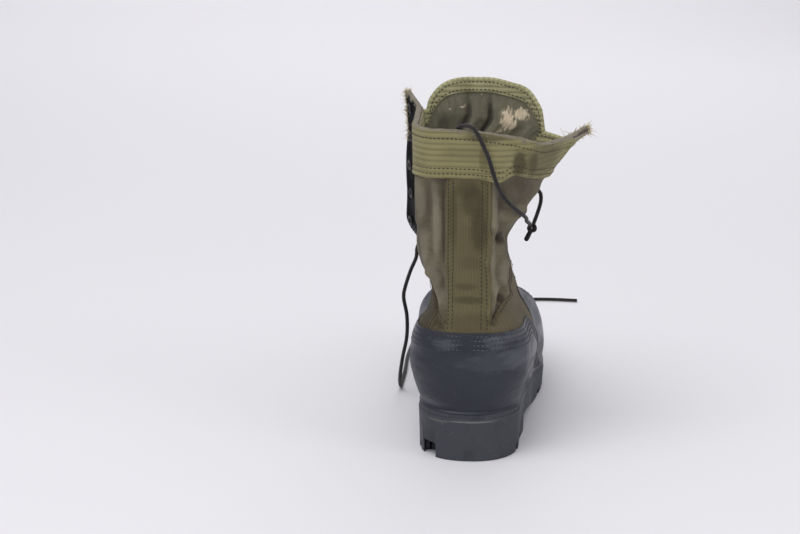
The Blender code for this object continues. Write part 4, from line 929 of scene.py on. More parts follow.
STAY_LEATHER = leather_finish("eyestay leather", (
    PaintedSpot(0.112, 0.150, 0.012, 0.020, 0.9), PaintedSpot(0.110, 0.120, 0.010, 0.014, 0.8)),
    colour=(0.003, 0.003, 0.0035), worn=(0.006, 0.006, 0.0065), gloss=0.05)

bm = laid_cloth(150, 78, -EYESTAY_EDGE, EYESTAY_EDGE, 0.0, 0.50, LIFT)
for line in (left_of(*COUNTER_TOP), left_of(*COUNTER_SLOPE), right_of(*LEATHER_SEAM)):
    cut_along(bm, line)
counter = thicken(add_piece("counter_piece", bm, COUNTER_LEATHER, CUT_EDGE), LEATHER, rim=1)
stand_in(counter, "leather", "counter")

bm = laid_cloth(150, 110, -1.0, 1.0, 0.0, VAMP_AT, LIFT)
bmesh.ops.remove_doubles(bm, verts=bm.verts, dist=0.00002)
for line in (left_of(*LEATHER_SEAM), left_of(*VAMP_SLOPE)):
    cut_along(bm, line)
punch(bm, VENT_PLACES, VENT_HOLE)
vamp = thicken(add_piece("vamp_piece", bm, VAMP_LEATHER, CUT_EDGE), LEATHER, rim=1)
stand_in(vamp, "leather", "vamp")

for side, word in SIDES.items():
    edges = (EYESTAY_EDGE, 1.0) if side > 0 else (-1.0, -EYESTAY_EDGE + 0.005 / HALF_GIRTH)
    bm = laid_cloth(28, 110, *edges, VAMP_AT + 0.002, 1.0, LIFT)
    punch(bm, [EYELETS[side, k] for k in range(EYELET_PAIRS)], EYELET_HOLE)
    stay = thicken(add_piece("eyestay_%s_piece" % word, bm, STAY_LEATHER, CUT_EDGE), LEATHER, rim=1)
    stand_in(stay, "leather", "eyestay_" + word)

# Webbing
# Olive webbing, ribbed lengthwise and frayed at its ends: the backstay over the seam, a band over each
# side of the ankle, and the band round the collar.
WEBBING, BAND_AT, BAND_TUCK = 0.0013, 0.897, 0.004
BAND_FOOT_Z, BAND_CLIMB, BAND_LEVEL = 0.1035, 1.15, 0.0100
BAND_TOP = (along(0.03), COUNTER_TOP_Z + 0.010, along(0.44), HEEL_STACK + 0.116)


def line_height(line, y):
    """Height of a line from (y1, z1) to (y2, z2), seen from +X, at y."""
    y1, z1, y2, z2 = line
    return z1 + (z2 - z1) * (y - y1) / (y2 - y1)


def ring_where(across, level):
    """The ring at each place round the skin where it passes the level that is given for its points."""
    across = np.asarray(across, float)
    points = on_grid(SKIN, AT[:, None] + 0 * across[None, :], across[None, :] + 0 * AT[:, None])
    over = points[..., 2] - level(points, across)
    return np.array([np.interp(0.0, over[:, k], AT) for k in range(len(across))])


def strip_across(at, distance):
    """Places at a distance from the back seam, measured along the rings."""
    marks = np.linspace(-1, 1, 321)
    found = []
    for ring in np.atleast_1d(at):
        row = on_grid(SKIN, np.full(len(marks), ring), marks)
        lengths = np.concatenate([[0.0], np.cumsum(np.linalg.norm(np.diff(row, axis=0), axis=1))])
        found.append(np.interp(lengths[len(marks) // 2] + distance, lengths, marks))
    return np.array(found)


def counter_level(points):
    """Height of the counter's top edge: level behind, then down to the sole."""
    return np.minimum(line_height(COUNTER_TOP, points[..., 1]), line_height(COUNTER_SLOPE, points[..., 1]))


def band_top(points, across):
    """The ankle bands' upper edge: steep beside the backstay, then a long slope to the vamp."""
    s = np.abs(across) * HALF_GIRTH
    steep = BAND_FOOT_Z + BAND_CLIMB * np.maximum(0.0, s - BAND_LEVEL)
    return np.minimum(steep, line_height(BAND_TOP, points[..., 1]) + 0.006)


def band_head(across):
    return ring_where(across, band_top)


def band_foot(across):
    """Their lower edge is tucked under the counter."""
    return ring_where(across, lambda points, _: counter_level(points) - BAND_TUCK)


def webbing_finish(name, colour, axis, pitch, stains_and_painted_light, pale, dirt=0.5):
    dark = (0.12, 0.10, 0.06)
    webbing = Finish(name, colour, 0.9)
    webbing.tint(webbing.noise(26.0, low=0.38, high=0.70), pale, 0.4)
    webbing.tint(webbing.noise(55.0, low=0.46, high=0.76, seed=1.0), dark, dirt)
    webbing.stains_and_painted_light(stains_and_painted_light, [0.42 * part for part in dark])
    ribs = webbing.ribs(axis, pitch, 0.6)
    # The grooves between the ribs are darkened: painted shade.
    painted_groove_shade = math_node(webbing.nodes, webbing.links, "SUBTRACT", 1.0, webbing.ribs(axis, pitch, 0.35))
    webbing.tint(painted_groove_shade, dark, 0.55)
    webbing.raise_by(ribs, 0.00040)
    webbing.raise_by(webbing.weave(700.0, 700.0), 0.00012)
    webbing.raise_by(webbing.noise(1300.0, detail=2.0), 0.00012)
    return webbing.done(specular=0.10, sheen=0.08)


BACKSTAY_WEBBING = webbing_finish("backstay webbing", (0.142, 0.123, 0.062), 0, 0.0021, (
    PaintedSpot(0.003, 0.196, 0.011, 0.014, 0.60), PaintedSpot(0.007, 0.175, 0.008, 0.020, 0.70),
    PaintedSpot(-0.002, 0.205, 0.010, 0.008, 0.45), PaintedSpot(0.002, 0.150, 0.010, 0.006, 0.30),
    PaintedSpot(0.000, 0.122, 0.010, 0.0035, 0.60), PaintedSpot(-0.012, 0.185, 0.004, 0.030, 0.45),
    PaintedSpot(0.002, 0.104, 0.014, 0.010, 0.45), PaintedSpot(-0.002, 0.132, 0.009, 0.003, 0.45)),
    pale=(0.195, 0.170, 0.090))
COLLAR_WEBBING = webbing_finish("collar webbing", (0.290, 0.262, 0.128), 1, 0.0042, (
    PaintedSpot(0.012, 0.2440, 0.020, 0.004, 0.55), PaintedSpot(0.036, 0.224, 0.006, 0.012, 0.75),
    PaintedSpot(0.047, 0.222, 0.006, 0.010, 0.60), PaintedSpot(0.010, 0.228, 0.004, 0.010, 0.40),
    PaintedSpot(-0.004, 0.232, 0.020, 0.006, 0.20), PaintedSpot(0.060, 0.224, 0.030, 0.016, 0.45)),
    pale=(0.35, 0.325, 0.175), dirt=0.35)
BAND_WEBBING = webbing_finish("ankle webbing", (0.120, 0.098, 0.060), 0, 0.0024, (
    # The large full-strength dark spot over the inner band, at -0.032 round, is painted shade.
    PaintedSpot(0.036, 0.094, 0.020, 0.014, 0.25), PaintedSpot(-0.032, 0.104, 0.024, 0.024, 1.0)),
    pale=(0.155, 0.130, 0.082))
BINDING = webbing_finish("olive binding", (0.430, 0.415, 0.230), 1, 0.0040, (),
                          pale=(0.53, 0.515, 0.31), dirt=0.25)

WEB_LIFT = WEBBING + 0.0001
BACKSTAY_FROM, BACKSTAY_HALF = 0.29, 0.016
BACKSTAY_TO = BAND_AT + 0.004


def backstay_edge(side):
    marks = np.linspace(0.0, 1.0, 60)
    edge = strip_across(BACKSTAY_FROM + (BACKSTAY_TO - BACKSTAY_FROM) * marks, side * BACKSTAY_HALF)
    return lambda w: np.interp(w, marks, edge)


bm = laid_cloth(40, 170, backstay_edge(-1), backstay_edge(1), BACKSTAY_FROM, BACKSTAY_TO, WEB_LIFT)
cut_along(bm, right_of(*COUNTER_TOP))
backstay = thicken(add_piece("backstay_piece", bm, BACKSTAY_WEBBING, RAW_EDGE), WEBBING)
stand_in(backstay, "webbing", "backstay")

for side, word in SIDES.items():
    edges = (0.0, EYESTAY_EDGE) if side > 0 else (-EYESTAY_EDGE, 0.0)
    bm = laid_cloth(110, 60, *edges, band_foot, band_head, WEB_LIFT - 0.0006)
    cut_along(bm, right_of(*VAMP_SLOPE))
    band = thicken(add_piece("ankle_band_%s_piece" % word, bm, BAND_WEBBING, RAW_EDGE), WEBBING)
    stand_in(band, "webbing", "ankle_band_" + word)


def band_low(across):
    """The collar band's lower edge steps up where its end is lapped on the outer side."""
    return BAND_AT - 0.006 + 0.022 * smooth(0.15, 0.27, across) + 0.009 * smooth(0.30, 0.55, across)


def band_lift(across):
    """It lies on the backstay, and on the outer side also over the lacing strip, to the corner."""
    return WEB_LIFT + 0.0007 + LEATHER * smooth(EYESTAY_EDGE - 0.05, EYESTAY_EDGE - 0.01, across)


bm = laid_cloth(190, 34, -EYESTAY_EDGE + 0.004 / HALF_GIRTH, 0.992, band_low, 1.0, band_lift)
collar = thicken(add_piece("collar_band_piece", bm, COLLAR_WEBBING, RAW_EDGE), WEBBING + 0.0006, rim=1)
stand_in(collar, "webbing", "collar_band")

# Collar rim and hem
# The canvas is turned in round the collar under a strip of binding, and the turned edge is worn
# through to a pale, fuzzy rim.
HEM_THICKNESS, RIM_RADIUS = 0.0009, 0.0021


def sweep(bm, points, radii, sides=12):
    """Draws a round section along the points and closes both ends. cloth holds round and along."""
    layer = bm.loops.layers.uv.get("cloth") or bm.loops.layers.uv.new("cloth")
    headings = [(points[min(i + 1, len(points) - 1)] - points[max(i - 1, 0)]).normalized()
                for i in range(len(points))]
    side = headings[0].orthogonal().normalized()
    rings, length = [], 0.0
    for i, (point, heading) in enumerate(zip(points, headings)):
        side = (side - heading * side.dot(heading)).normalized()
        if i:
            length += (point - points[i - 1]).length
        frame_at = Matrix((side, heading.cross(side), heading)).transposed().to_4x4()
        frame_at.translation = point
        if i == 0:
            ring = bmesh.ops.create_circle(bm, cap_ends=False, radius=1.0, segments=sides)["verts"]
        else:
            grown = bmesh.ops.extrude_edge_only(bm, edges=edges)["geom"]
            ring = [v for v in grown if isinstance(v, bmesh.types.BMVert)]
            ring = [next(e.other_vert(v) for e in v.link_edges if e.other_vert(v) in ring)
                    for v in rings[-1][0]]
        unit = [Vector((math.cos(2 * math.pi * k / sides), math.sin(2 * math.pi * k / sides), 0.0))
                for k in range(sides)]
        for v, spot in zip(ring, unit):
            v.co = frame_at @ (spot * radii[i])
        among = set(ring)
        edges = [e for e in {e for v in ring for e in v.link_edges} if all(v in among for v in e.verts)]
        rings.append((ring, length))
    for ends in (rings[0][0], rings[-1][0]):
        among = set(ends)
        rim = [e for e in {e for v in ends for e in v.link_edges} if all(v in among for v in e.verts)]
        bmesh.ops.contextual_create(bm, geom=rim)
    turn = {v: (k / sides, length) for ring, length in rings for k, v in enumerate(ring)}
    faces = {f for ring, _ in rings for v in ring for f in v.link_faces}
    for face in faces:
        us = [turn[loop.vert][0] for loop in face.loops]
        for loop in face.loops:
            u, length = turn[loop.vert]
            if max(us) - min(us) > 0.5 and u < 0.5:
                u += 1.0
            loop[layer].uv = (u * 2 * math.pi * radii[0], length)
    bmesh.ops.recalc_face_normals(bm, faces=list(faces))


def inside(at, across, lift):
    """Places on the upper's inner face; a lift goes inwards."""
    points, out = on_skin(at, across, -CANVAS_WALL - np.asarray(lift))
    return points, -out


bm = laid_cloth(170, 12, EYESTAY_EDGE - 0.01, -EYESTAY_EDGE + 0.01, BAND_AT + 0.02, 0.997,
                HEM_THICKNESS + 0.0002, inside)
hem = thicken(add_piece("collar_hem", bm, BINDING, RAW_EDGE), HEM_THICKNESS, rim=1)
stand_in(hem, "webbing")

rim_places = np.linspace(-0.985, 0.985, 260)
rim_points = on_skin(np.full_like(rim_places, 0.996), rim_places,
                     0.0002 * np.sin(90 * rim_places) - 0.0001)[0]
bm = bmesh.new()
sweep(bm, [Vector(p) for p in rim_points], RIM_RADIUS * (1 + 0.08 * np.sin(70 * rim_places)), sides=10)
for side in (-1, 1):
    rings = np.linspace(0.90, 0.998, 30)
    corner = on_skin(rings, np.full_like(rings, side * 0.992), 0.0002 * np.sin(400 * rings))[0]
    sweep(bm, [Vector(p) for p in corner], RIM_RADIUS * (1.0 + 0.10 * np.sin(300 * rings)), sides=10)
stand_in(add_piece("collar_rim", bm, RAW_EDGE), "canvas")

# Tongue
# A flat canvas tongue, joined behind the lacing strips as far as the collar and standing above it,
# bound with olive webbing. Its lining is torn through to the pale backing in one place.
TONGUE_FROM, TONGUE_JOINED, JOINED_SHARE, TONGUE_RISE, TONGUE_WALL = 0.57, 0.985, 0.8, 0.036, 0.0018
BODY_LEFT, BODY_RIGHT = -0.88, 0.66
GUSSET_CLEARANCE, EYELET_CLEARANCE, TONGUE_CLEARANCE = 0.0012, 0.0024, 0.0030
FREE_FROM, FREE_TO, TONGUE_PEAK, BINDING_WIDE = 0.72, 0.95, 0.027, 0.055
BINDING_THICKNESS = 0.0009
bm = laid_cloth(120, 90, -1.0, 1.0, 0.5, 1.0, -CANVAS_WALL)
bmesh.ops.triangulate(bm, faces=bm.faces)
bm.normal_update()
INNER_FACE = BVHTree.FromBMesh(bm)
bm.free()


def lacing_middle(at, lift):
    """Midway between the lacing edges, moved ahead by lift, square to the opening."""
    def halfway(ring):
        return (on_grid(SKIN, [ring], [-1.0])[0] + on_grid(SKIN, [ring], [1.0])[0]) / 2

    chord = on_grid(SKIN, [at], [EYESTAY_EDGE])[0] - on_grid(SKIN, [at], [-EYESTAY_EDGE])[0]
    ahead_of = np.cross(halfway(min(1.0, at + 0.01)) - halfway(at - 0.01), chord)
    return halfway(at) + ahead_of / np.linalg.norm(ahead_of) * lift


def tongue_row(at, shares):
    """The tongue's face between its two joins, clear of the inside of the upper."""
    ends = [on_skin([at], [side * EYESTAY_EDGE], -CANVAS_WALL - GUSSET_CLEARANCE)[0][0] for side in (-1, 1)]
    free = float(smooth(FREE_FROM, FREE_TO, at))
    reach = lacing_middle(at, -CANVAS_WALL - TONGUE_CLEARANCE) - (ends[0] + ends[1]) / 2
    reach = reach * (1.0 - 0.28 * free)
    row = []
    for share in shares:
        bulge = 1 - abs(share) ** (2.1 + 0.5 * free)
        point = Vector(ends[0] + (ends[1] - ends[0]) * (share + 1) / 2 + reach * bulge)
        clearance = GUSSET_CLEARANCE if abs(share) == 1 else EYELET_CLEARANCE
        for _ in range(3):
            found, normal = INNER_FACE.find_nearest(point)[:2]
            room = (found - point).dot(normal)
            if room < clearance:
                point = point - normal * (clearance - room)
        row.append(point)
    return np.array(row)


rows, shares = np.linspace(0.0, 1.0, 71), np.linspace(-1.0, 1.0, 91)
joined = TONGUE_FROM + (TONGUE_JOINED - TONGUE_FROM) * np.minimum(rows / JOINED_SHARE, 1.0)
rise = np.maximum(0.0, rows - JOINED_SHARE) / (1 - JOINED_SHARE) * TONGUE_RISE
TONGUE = np.array([tongue_row(at, shares) for at in joined])
TONGUE[..., 2] += rise[:, None]
# Its soft folds, each at a place across, over a stretch of rows.
Fold = namedtuple("Fold", "across low high wide deep")
for fold in (Fold(-0.34, 0.66, 0.90, 0.060, -0.0030), Fold(-0.20, 0.70, 0.98, 0.060, 0.0016),
             Fold(-0.03, 0.62, 0.88, 0.050, -0.0032), Fold(0.12, 0.70, 0.98, 0.070, 0.0016),
             Fold(-0.60, 0.60, 0.95, 0.090, 0.0014), Fold(0.45, 0.70, 0.92, 0.080, -0.0014)):
    reach = smooth(fold.low - 0.10, fold.low, rows) * (1 - smooth(fold.high - 0.06, fold.high + 0.04, rows))
    shape = np.exp(-((shares - fold.across) / fold.wide) ** 2)
    TONGUE[..., 1] -= fold.deep * reach[:, None] * shape[None, :]
TONGUE_BACK = normals_of(TONGUE)


def on_tongue(row, across, lift=0.0):
    back = on_grid(TONGUE_BACK, row, across)
    back /= np.linalg.norm(back, axis=-1, keepdims=True)
    return on_grid(TONGUE, row, across) + back * np.asarray(lift, float)[..., None], back


def tongue_top(across):
    """Its upper edge: level with the collar over the joins, rising to a broad round in the middle."""
    body = 2 * (across - BODY_LEFT) / (BODY_RIGHT - BODY_LEFT) - 1
    lifted = TONGUE_PEAK * (1 - 0.70 * np.clip(np.abs(body), 0, 1) ** 4)
    lifted += 0.0042 * smooth(-0.60, 0.30, body) + 0.0040 * smooth(0.45, 0.85, body)
    lifted = lifted * smooth(-1.05, -0.99, body) * (1 - smooth(0.99, 1.07, body))
    return JOINED_SHARE + (1 - JOINED_SHARE) * lifted / TONGUE_RISE


def binding_foot(across):
    return tongue_top(across) - BINDING_WIDE


def tongue_finish():
    tongue_cloth = Finish("tongue canvas", (0.235, 0.222, 0.155), 0.92)
    tongue_cloth.tint(tongue_cloth.noise(34.0, low=0.38, high=0.70), (0.31, 0.29, 0.215), 0.5)
    tongue_cloth.tint(tongue_cloth.noise(70.0, low=0.45, high=0.72, seed=6.0), (0.150, 0.137, 0.100), 0.5)
    # Darker spots; the two at -0.043 and -0.003 round lie in the troughs of the tongue's folds and are
    # painted shade.
    tongue_cloth.stains_and_painted_light((PaintedSpot(-0.043, 0.243, 0.008, 0.014, 0.70), PaintedSpot(-0.003, 0.240, 0.007, 0.018, 0.80),
                         PaintedSpot(0.078, 0.232, 0.012, 0.010, 0.2), PaintedSpot(-0.085, 0.235, 0.014, 0.012, 0.4)),
                        (0.030, 0.028, 0.022))
    tongue_cloth.stains_and_painted_light((
        PaintedSpot(0.029, 0.2420, 0.0125, 0.0100, 1.0), PaintedSpot(0.0525, 0.2470, 0.0150, 0.0052, 1.0),
        PaintedSpot(0.0400, 0.2380, 0.0060, 0.0040, 1.0)), (1.0, 0.84, 0.61), roughen=2.4)
    tongue_cloth.stains_and_painted_light((
        PaintedSpot(-0.078, 0.2500, 0.0022, 0.0008, 0.9), PaintedSpot(-0.056, 0.2510, 0.0050, 0.0009, 0.9),
        PaintedSpot(-0.050, 0.2520, 0.0020, 0.0008, 0.8), PaintedSpot(-0.020, 0.2610, 0.0018, 0.0007, 0.8)),
        (0.80, 0.65, 0.52), roughen=1.6)
    tongue_cloth.raise_by(tongue_cloth.weave(900.0, 900.0), 0.00016)
    tongue_cloth.raise_by(tongue_cloth.noise(1400.0, detail=2.0), 0.00014)
    tongue_cloth.raise_by(tongue_cloth.noise(80.0), 0.0007)
    return tongue_cloth.done(specular=0.12, sheen=0.2)


TONGUE_CLOTH = tongue_finish()
bm = laid_cloth(190, 110, -1.0, 1.0, 0.0, tongue_top, 0.0, on_tongue)
tongue = thicken(add_piece("tongue_piece", bm, TONGUE_CLOTH, RAW_EDGE), TONGUE_WALL, edge=0.0)
stand_in(tongue, "canvas", "tongue")

for name, lift in (("tongue_binding_back", BINDING_THICKNESS + 0.0001),
                   ("tongue_binding_front", -TONGUE_WALL - 0.0001)):
    bm = laid_cloth(190, 10, -0.995, 0.995, binding_foot, tongue_top, lift, on_tongue)
    stand_in(thicken(add_piece(name, bm, BINDING), BINDING_THICKNESS, edge=0.0003), "webbing")
edge_places = np.linspace(-0.995, 0.995, 240)
edge_points = on_tongue(tongue_top(edge_places) - 0.004, edge_places, -TONGUE_WALL / 2)[0]
bm = bmesh.new()
edge_radius = TONGUE_WALL / 2 + BINDING_THICKNESS + 0.0002
sweep(bm, [Vector(p) for p in edge_points], np.full(len(edge_points), edge_radius), sides=10)
stand_in(add_piece("tongue_binding_edge", bm, BINDING), "webbing")

# Eyelets and vents
# Black lacquered brass eyelets, rolled over the leather, nine a side, and two larger screened ones low
# on the inner side that let water out.
def metal_finish():
    metal = Finish("lacquered brass", (0.022, 0.022, 0.022), 0.38, flat=False)
    metal.tint(metal.noise(900.0, low=0.60, high=0.70), (0.20, 0.15, 0.08), 0.8)
    metal.vary_roughness(metal.noise(400.0), 0.28, 0.55)
    return metal.done(specular=0.5, metallic=0.55)


METAL = metal_finish()
RING_LIP = 0.0008


def turned_ring(bm, profile, centre, out, steps=24):
    """A closed profile of (radius, height) turned round the way out of the skin at the centre."""
    turned = Matrix.Translation(centre) @ out.to_track_quat("Z", "Y").to_matrix().to_4x4()
    corners = [bm.verts.new((r, 0.0, z)) for r, z in profile]
    loop = [bm.edges.new(pair) for pair in zip(corners, corners[1:] + corners[:1])]
    before = set(bm.verts) - set(corners)
    bmesh.ops.spin(bm, geom=corners + loop, cent=(0, 0, 0), axis=(0, 0, 1), angle=2 * math.pi, steps=steps,
                   use_merge=True)
    bmesh.ops.transform(bm, matrix=turned, verts=[v for v in bm.verts if v not in before])


def ring_profile(hole, flange, bore, top, lip):
    low = -CANVAS_WALL - 0.0006
    return ((bore, low), (flange * 0.9, low), (flange * 0.9, low + 0.0005), (hole - 0.0003, low + 0.0006),
            (hole - 0.0003, top), (flange, top), (flange, top + lip * 0.4),
            (flange - 0.0004, top + lip * 0.85), ((flange + bore) / 2, top + lip),
            (bore + 0.0003, top + lip * 0.75), (bore, top + lip * 0.3))


def place_on(at, across):
    point, out = on_skin([at], [across])
    return Vector(point[0]), Vector(out[0])


bm = bmesh.new()
for at, across in EYELETS.values():
    turned_ring(bm, ring_profile(EYELET_HOLE, EYELET_FLANGE, EYELET_BORE, LEATHER + 0.0002, RING_LIP),
                *place_on(at, across))
bmesh.ops.recalc_face_normals(bm, faces=bm.faces)
stand_in(add_piece("eyelets", bm, METAL), "fittings",
         *["eyelet_%s_%d" % (word, k + 1) for word in SIDES.values() for k in range(EYELET_PAIRS)])

WIRE, WIRE_PITCH, WIRE_LENGTH, VENT_BORE = 0.0002, 0.0009, 0.0066, 0.0030
bm = bmesh.new()
for at, across in VENT_PLACES:
    centre, out = place_on(at, across)
    turned_ring(bm, ring_profile(VENT_HOLE, VENT_FLANGE, VENT_BORE, LEATHER + 0.0002, RING_LIP), centre, out)
    turned = Matrix.Translation(centre) @ out.to_track_quat("Z", "Y").to_matrix().to_4x4()
    for k in range(-3, 4):
        for quarter in (0.0, math.pi / 2):
            level = WIRE / 2 if quarter else -WIRE / 2
            wire = Matrix.Rotation(quarter, 4, "Z") @ Matrix.Translation((0, k * WIRE_PITCH, level))
            size = Matrix.Diagonal((WIRE_LENGTH, WIRE, WIRE, 1.0))
            bmesh.ops.create_cube(bm, size=1.0, matrix=turned @ wire @ size)
bmesh.ops.recalc_face_normals(bm, faces=bm.faces)
stand_in(add_piece("vents", bm, METAL), "fittings", "vent_1", "vent_2")

# Lacing
# The lace goes across at the lowest pair and crosses up to the fourth, out of each eyelet, over its
# own edge, under the other one and out of the next; then one end runs up inside to the sixth.
LACE_RADIUS, LACING_STEP = 0.0015, 0.0012


def smooth_route(route, step):
    """Points at even steps along a smooth curve through the route's own points."""
    route = [Vector(point) for point in route]
    ends = [2 * route[0] - route[1], *route, 2 * route[-1] - route[-2]]
    fine = []
    for a, b, c, d in zip(ends, ends[1:], ends[2:], ends[3:]):
        for k in range(16):
            t = k / 16
            fine.append(0.5 * (2 * b + (c - a) * t + (2 * a - 5 * b + 4 * c - d) * t ** 2
                               + (3 * b - a - 3 * c + d) * t ** 3))
    fine.append(route[-1])
    lengths = np.cumsum([0.0] + [(b - a).length for a, b in zip(fine, fine[1:])])
    count = max(2, round(lengths[-1] / step))
    wanted = np.linspace(0.0, lengths[-1], count + 1)
    columns = [np.interp(wanted, lengths, [p[k] for p in fine]) for k in range(3)]
    return [Vector(p) for p in zip(*columns)]


def braid_finish():
    lace = Finish("black braided lace", (0.017, 0.014, 0.015), 0.75)
    lace.tint(lace.noise(55.0, low=0.45, high=0.75), (0.046, 0.038, 0.039), 0.55)
    lace.raise_by(lace.weave(420.0, 420.0), 0.00030)
    lace.raise_by(lace.noise(900.0), 0.00012)
    return lace.done(specular=0.3, sheen=0.15)


LACE = braid_finish()


def lace_spot(side, index, lift):
    centre, out = place_on(*EYELETS[side, index])
    return centre + out * lift


def edge_spot(side, index, lift):
    centre, out = place_on(EYELETS[side, index][0], side)
    return centre + out * lift


OVER, UNDER = LEATHER + LACE_RADIUS + 0.0004, -CANVAS_WALL - LACE_RADIUS


def across_tongue(low, high):
    at = (EYELETS[-1, low][0] + EYELETS[1, low][0] + EYELETS[-1, high][0] + EYELETS[1, high][0]) / 4
    return Vector(lacing_middle(at, LACE_RADIUS + 0.0004))


def laced(start_side):
    """The route of one half of the lace from the middle of the lowest bar."""
    side = start_side
    route = [across_tongue(0, 0), edge_spot(side, 0, OVER), lace_spot(side, 0, OVER + 0.0006),
             lace_spot(side, 0, 0.0), lace_spot(side, 0, UNDER)]
    for k in range(3):
        if k:
            route += [edge_spot(side, k, OVER)]
        lift = 0.0012 if side > 0 else -0.0006
        route += [across_tongue(k, k + 1) + Vector((0, -lift * 0.3, lift)), edge_spot(-side, k + 1, UNDER),
                  lace_spot(-side, k + 1, UNDER), lace_spot(-side, k + 1, 0.0),
                  lace_spot(-side, k + 1, OVER + 0.0006)]
        side = -side
    return route


bm = bmesh.new()
for start in (-1, 1):
    route = laced(start)
    if start < 0:
        route += [lace_spot(1, 3, UNDER), lace_spot(1, 4, UNDER - 0.0010), lace_spot(1, 5, UNDER),
                  lace_spot(1, 5, 0.0)]
    points = smooth_route(route, LACING_STEP)
    sweep(bm, points, np.full(len(points), LACE_RADIUS), sides=10)
stand_in(add_piece("lacing", bm, LACE), "lace", "lace_bar", "lace_cross_1", "lace_cross_2", "lace_cross_3")

# Loose lace
# Its outer end leaves the sixth eyelet, is knotted, and lies over the collar and down inside; its
# inner end leaves the fourth and lies on the floor round the toe.
CORD_STEP = 0.004
KNOT = Vector((0.0441, 0.0340, 0.1622))
KNOT_WIDE, KNOT_DEEP, KNOT_TAIL = 0.0021, 0.0014, 0.0110
OUTER_END = (
    (0.0303, 0.0601, 0.1844), (0.0350, 0.0652, 0.1833), (0.0410, 0.0674, 0.1840),
    (0.0463, 0.0630, 0.1859), (0.0497, 0.0573, 0.1841), (0.0502, 0.0518, 0.1795),
    (0.0490, 0.0465, 0.1749), (0.0472, 0.0415, 0.1700), (0.0452, 0.0367, 0.1651),
)
TAIL = (
    (0.0429, 0.0315, 0.1652), (0.0420, 0.0253, 0.1680), (0.0412, 0.0192, 0.1702),
    (0.0406, 0.0127, 0.1722), (0.0404, 0.0057, 0.1746), (0.0406, -0.0015, 0.1771),
    (0.0404, -0.0086, 0.1797), (0.0392, -0.0160, 0.1828), (0.0366, -0.0215, 0.1864),
    (0.0327, -0.0264, 0.1905), (0.0282, -0.0303, 0.1955), (0.0243, -0.0324, 0.2008),
    (0.0212, -0.0339, 0.2065), (0.0186, -0.0348, 0.2130), (0.0166, -0.0357, 0.2192),
    (0.0150, -0.0368, 0.2251), (0.0127, -0.0381, 0.2321), (0.0096, -0.0389, 0.2389),
    (0.0064, -0.0388, 0.2457), (0.0021, -0.0371, 0.2513), (-0.0041, -0.0330, 0.2521),
    (-0.0092, -0.0288, 0.2490), (-0.0116, -0.0259, 0.2425), (-0.0128, -0.0256, 0.2351),
    (-0.0134, -0.0251, 0.2276), (-0.0137, -0.0244, 0.2201), (-0.0141, -0.0238, 0.2126),
    (-0.0149, -0.0226, 0.1976), (-0.0150, -0.0220, 0.1750),
)
FLOOR = LACE_RADIUS + 0.0003
INNER_END = (
    (-0.0435, 0.0721, 0.1404), (-0.0460, 0.0739, 0.1350), (-0.0470, 0.0790, 0.1260),
    (-0.0522, 0.0840, 0.1130), (-0.0570, 0.0880, 0.0970), (-0.0578, 0.0900, 0.0890),
    (-0.0555, 0.0930, 0.0740), (-0.0560, 0.0980, 0.0550), (-0.0600, 0.1050, 0.0350),
    (-0.0630, 0.1150, 0.0150), (-0.0640, 0.1350, FLOOR), (-0.0640, 0.1750, FLOOR),
    (-0.0650, 0.2200, FLOOR), (-0.0620, 0.2700, FLOOR), (-0.0500, 0.3200, FLOOR),
    (-0.0300, 0.3650, FLOOR), (0.0000, 0.3950, FLOOR), (0.0317, 0.4090, FLOOR),
    (0.0570, 0.4120, FLOOR), (0.0829, 0.4100, FLOOR),
)


def free_lace(name, route):
    points = smooth_route(route, CORD_STEP)
    for point in points:
        point.z = max(point.z, FLOOR)
    bm = bmesh.new()
    sweep(bm, points, [LACE_RADIUS] * len(points))
    piece = stand_in(add_piece(name, bm, LACE), "lace", name)
    return piece


def knot_piece():
    """An overhand knot: the lace crosses itself twice, pulled tight, with a short thick tail."""
    bm = bmesh.new()
    turn = [Vector((math.sin(t) * KNOT_WIDE, math.cos(2 * t) * KNOT_DEEP, math.cos(t) * KNOT_WIDE))
            for t in np.linspace(0.3, 5.9, 22)]
    sweep(bm, [KNOT + point for point in turn], [0.0017] * len(turn))
    hang = Vector((-0.42, 0.0, -0.90)).normalized()
    tail = [KNOT + hang * KNOT_TAIL * t for t in (0.05, 0.2, 0.4, 0.6, 0.8, 0.93, 1.0)]
    sweep(bm, tail, [0.0017, 0.0018, 0.0018, 0.0019, 0.0019, 0.0017, 0.0010])
    return stand_in(add_piece("lace_knot_piece", bm, LACE), "lace", "lace_knot")


knot = knot_piece()
free_lace("lace_end_outer", OUTER_END)
free_lace("lace_tail", TAIL)
free_lace("lace_end_inner", INNER_END)

# Stitching
# Heavy thread, about eight stitches to the inch: four rows round the counter's top, double rows down
# the backstay's sides and along the lacing strips, and rows through the collar and the bindings.
def join(bm, small):
    """Adds a small piece to the mesh of a larger one."""
    mesh = bpy.data.meshes.new("joined")
    small.to_mesh(mesh)
    small.free()
    bm.from_mesh(mesh)
    bpy.data.meshes.remove(mesh)


def cotton_thread():
    thread = Finish("dark thread", (0.038, 0.033, 0.022), 0.9, flat=False)
    thread.tint(thread.noise(220.0), (0.032, 0.027, 0.018), 1.0)
    return thread.done(specular=0.5)


def waxed_thread():
    """Black thread, rubbed pale at two places on the heel."""
    thread = Finish("waxed thread", (0.036, 0.038, 0.046), 0.7, flat=False)
    for x in (-0.0115, 0.0095):
        thread.spot((x, -0.036, 0.0905), (0.0080, 0.020, 0.0100), (0.115, 0.12, 0.135), 0.9, 0.6)
    return thread.done(specular=0.3)


DARK_THREAD, WAXED_THREAD = cotton_thread(), waxed_thread()


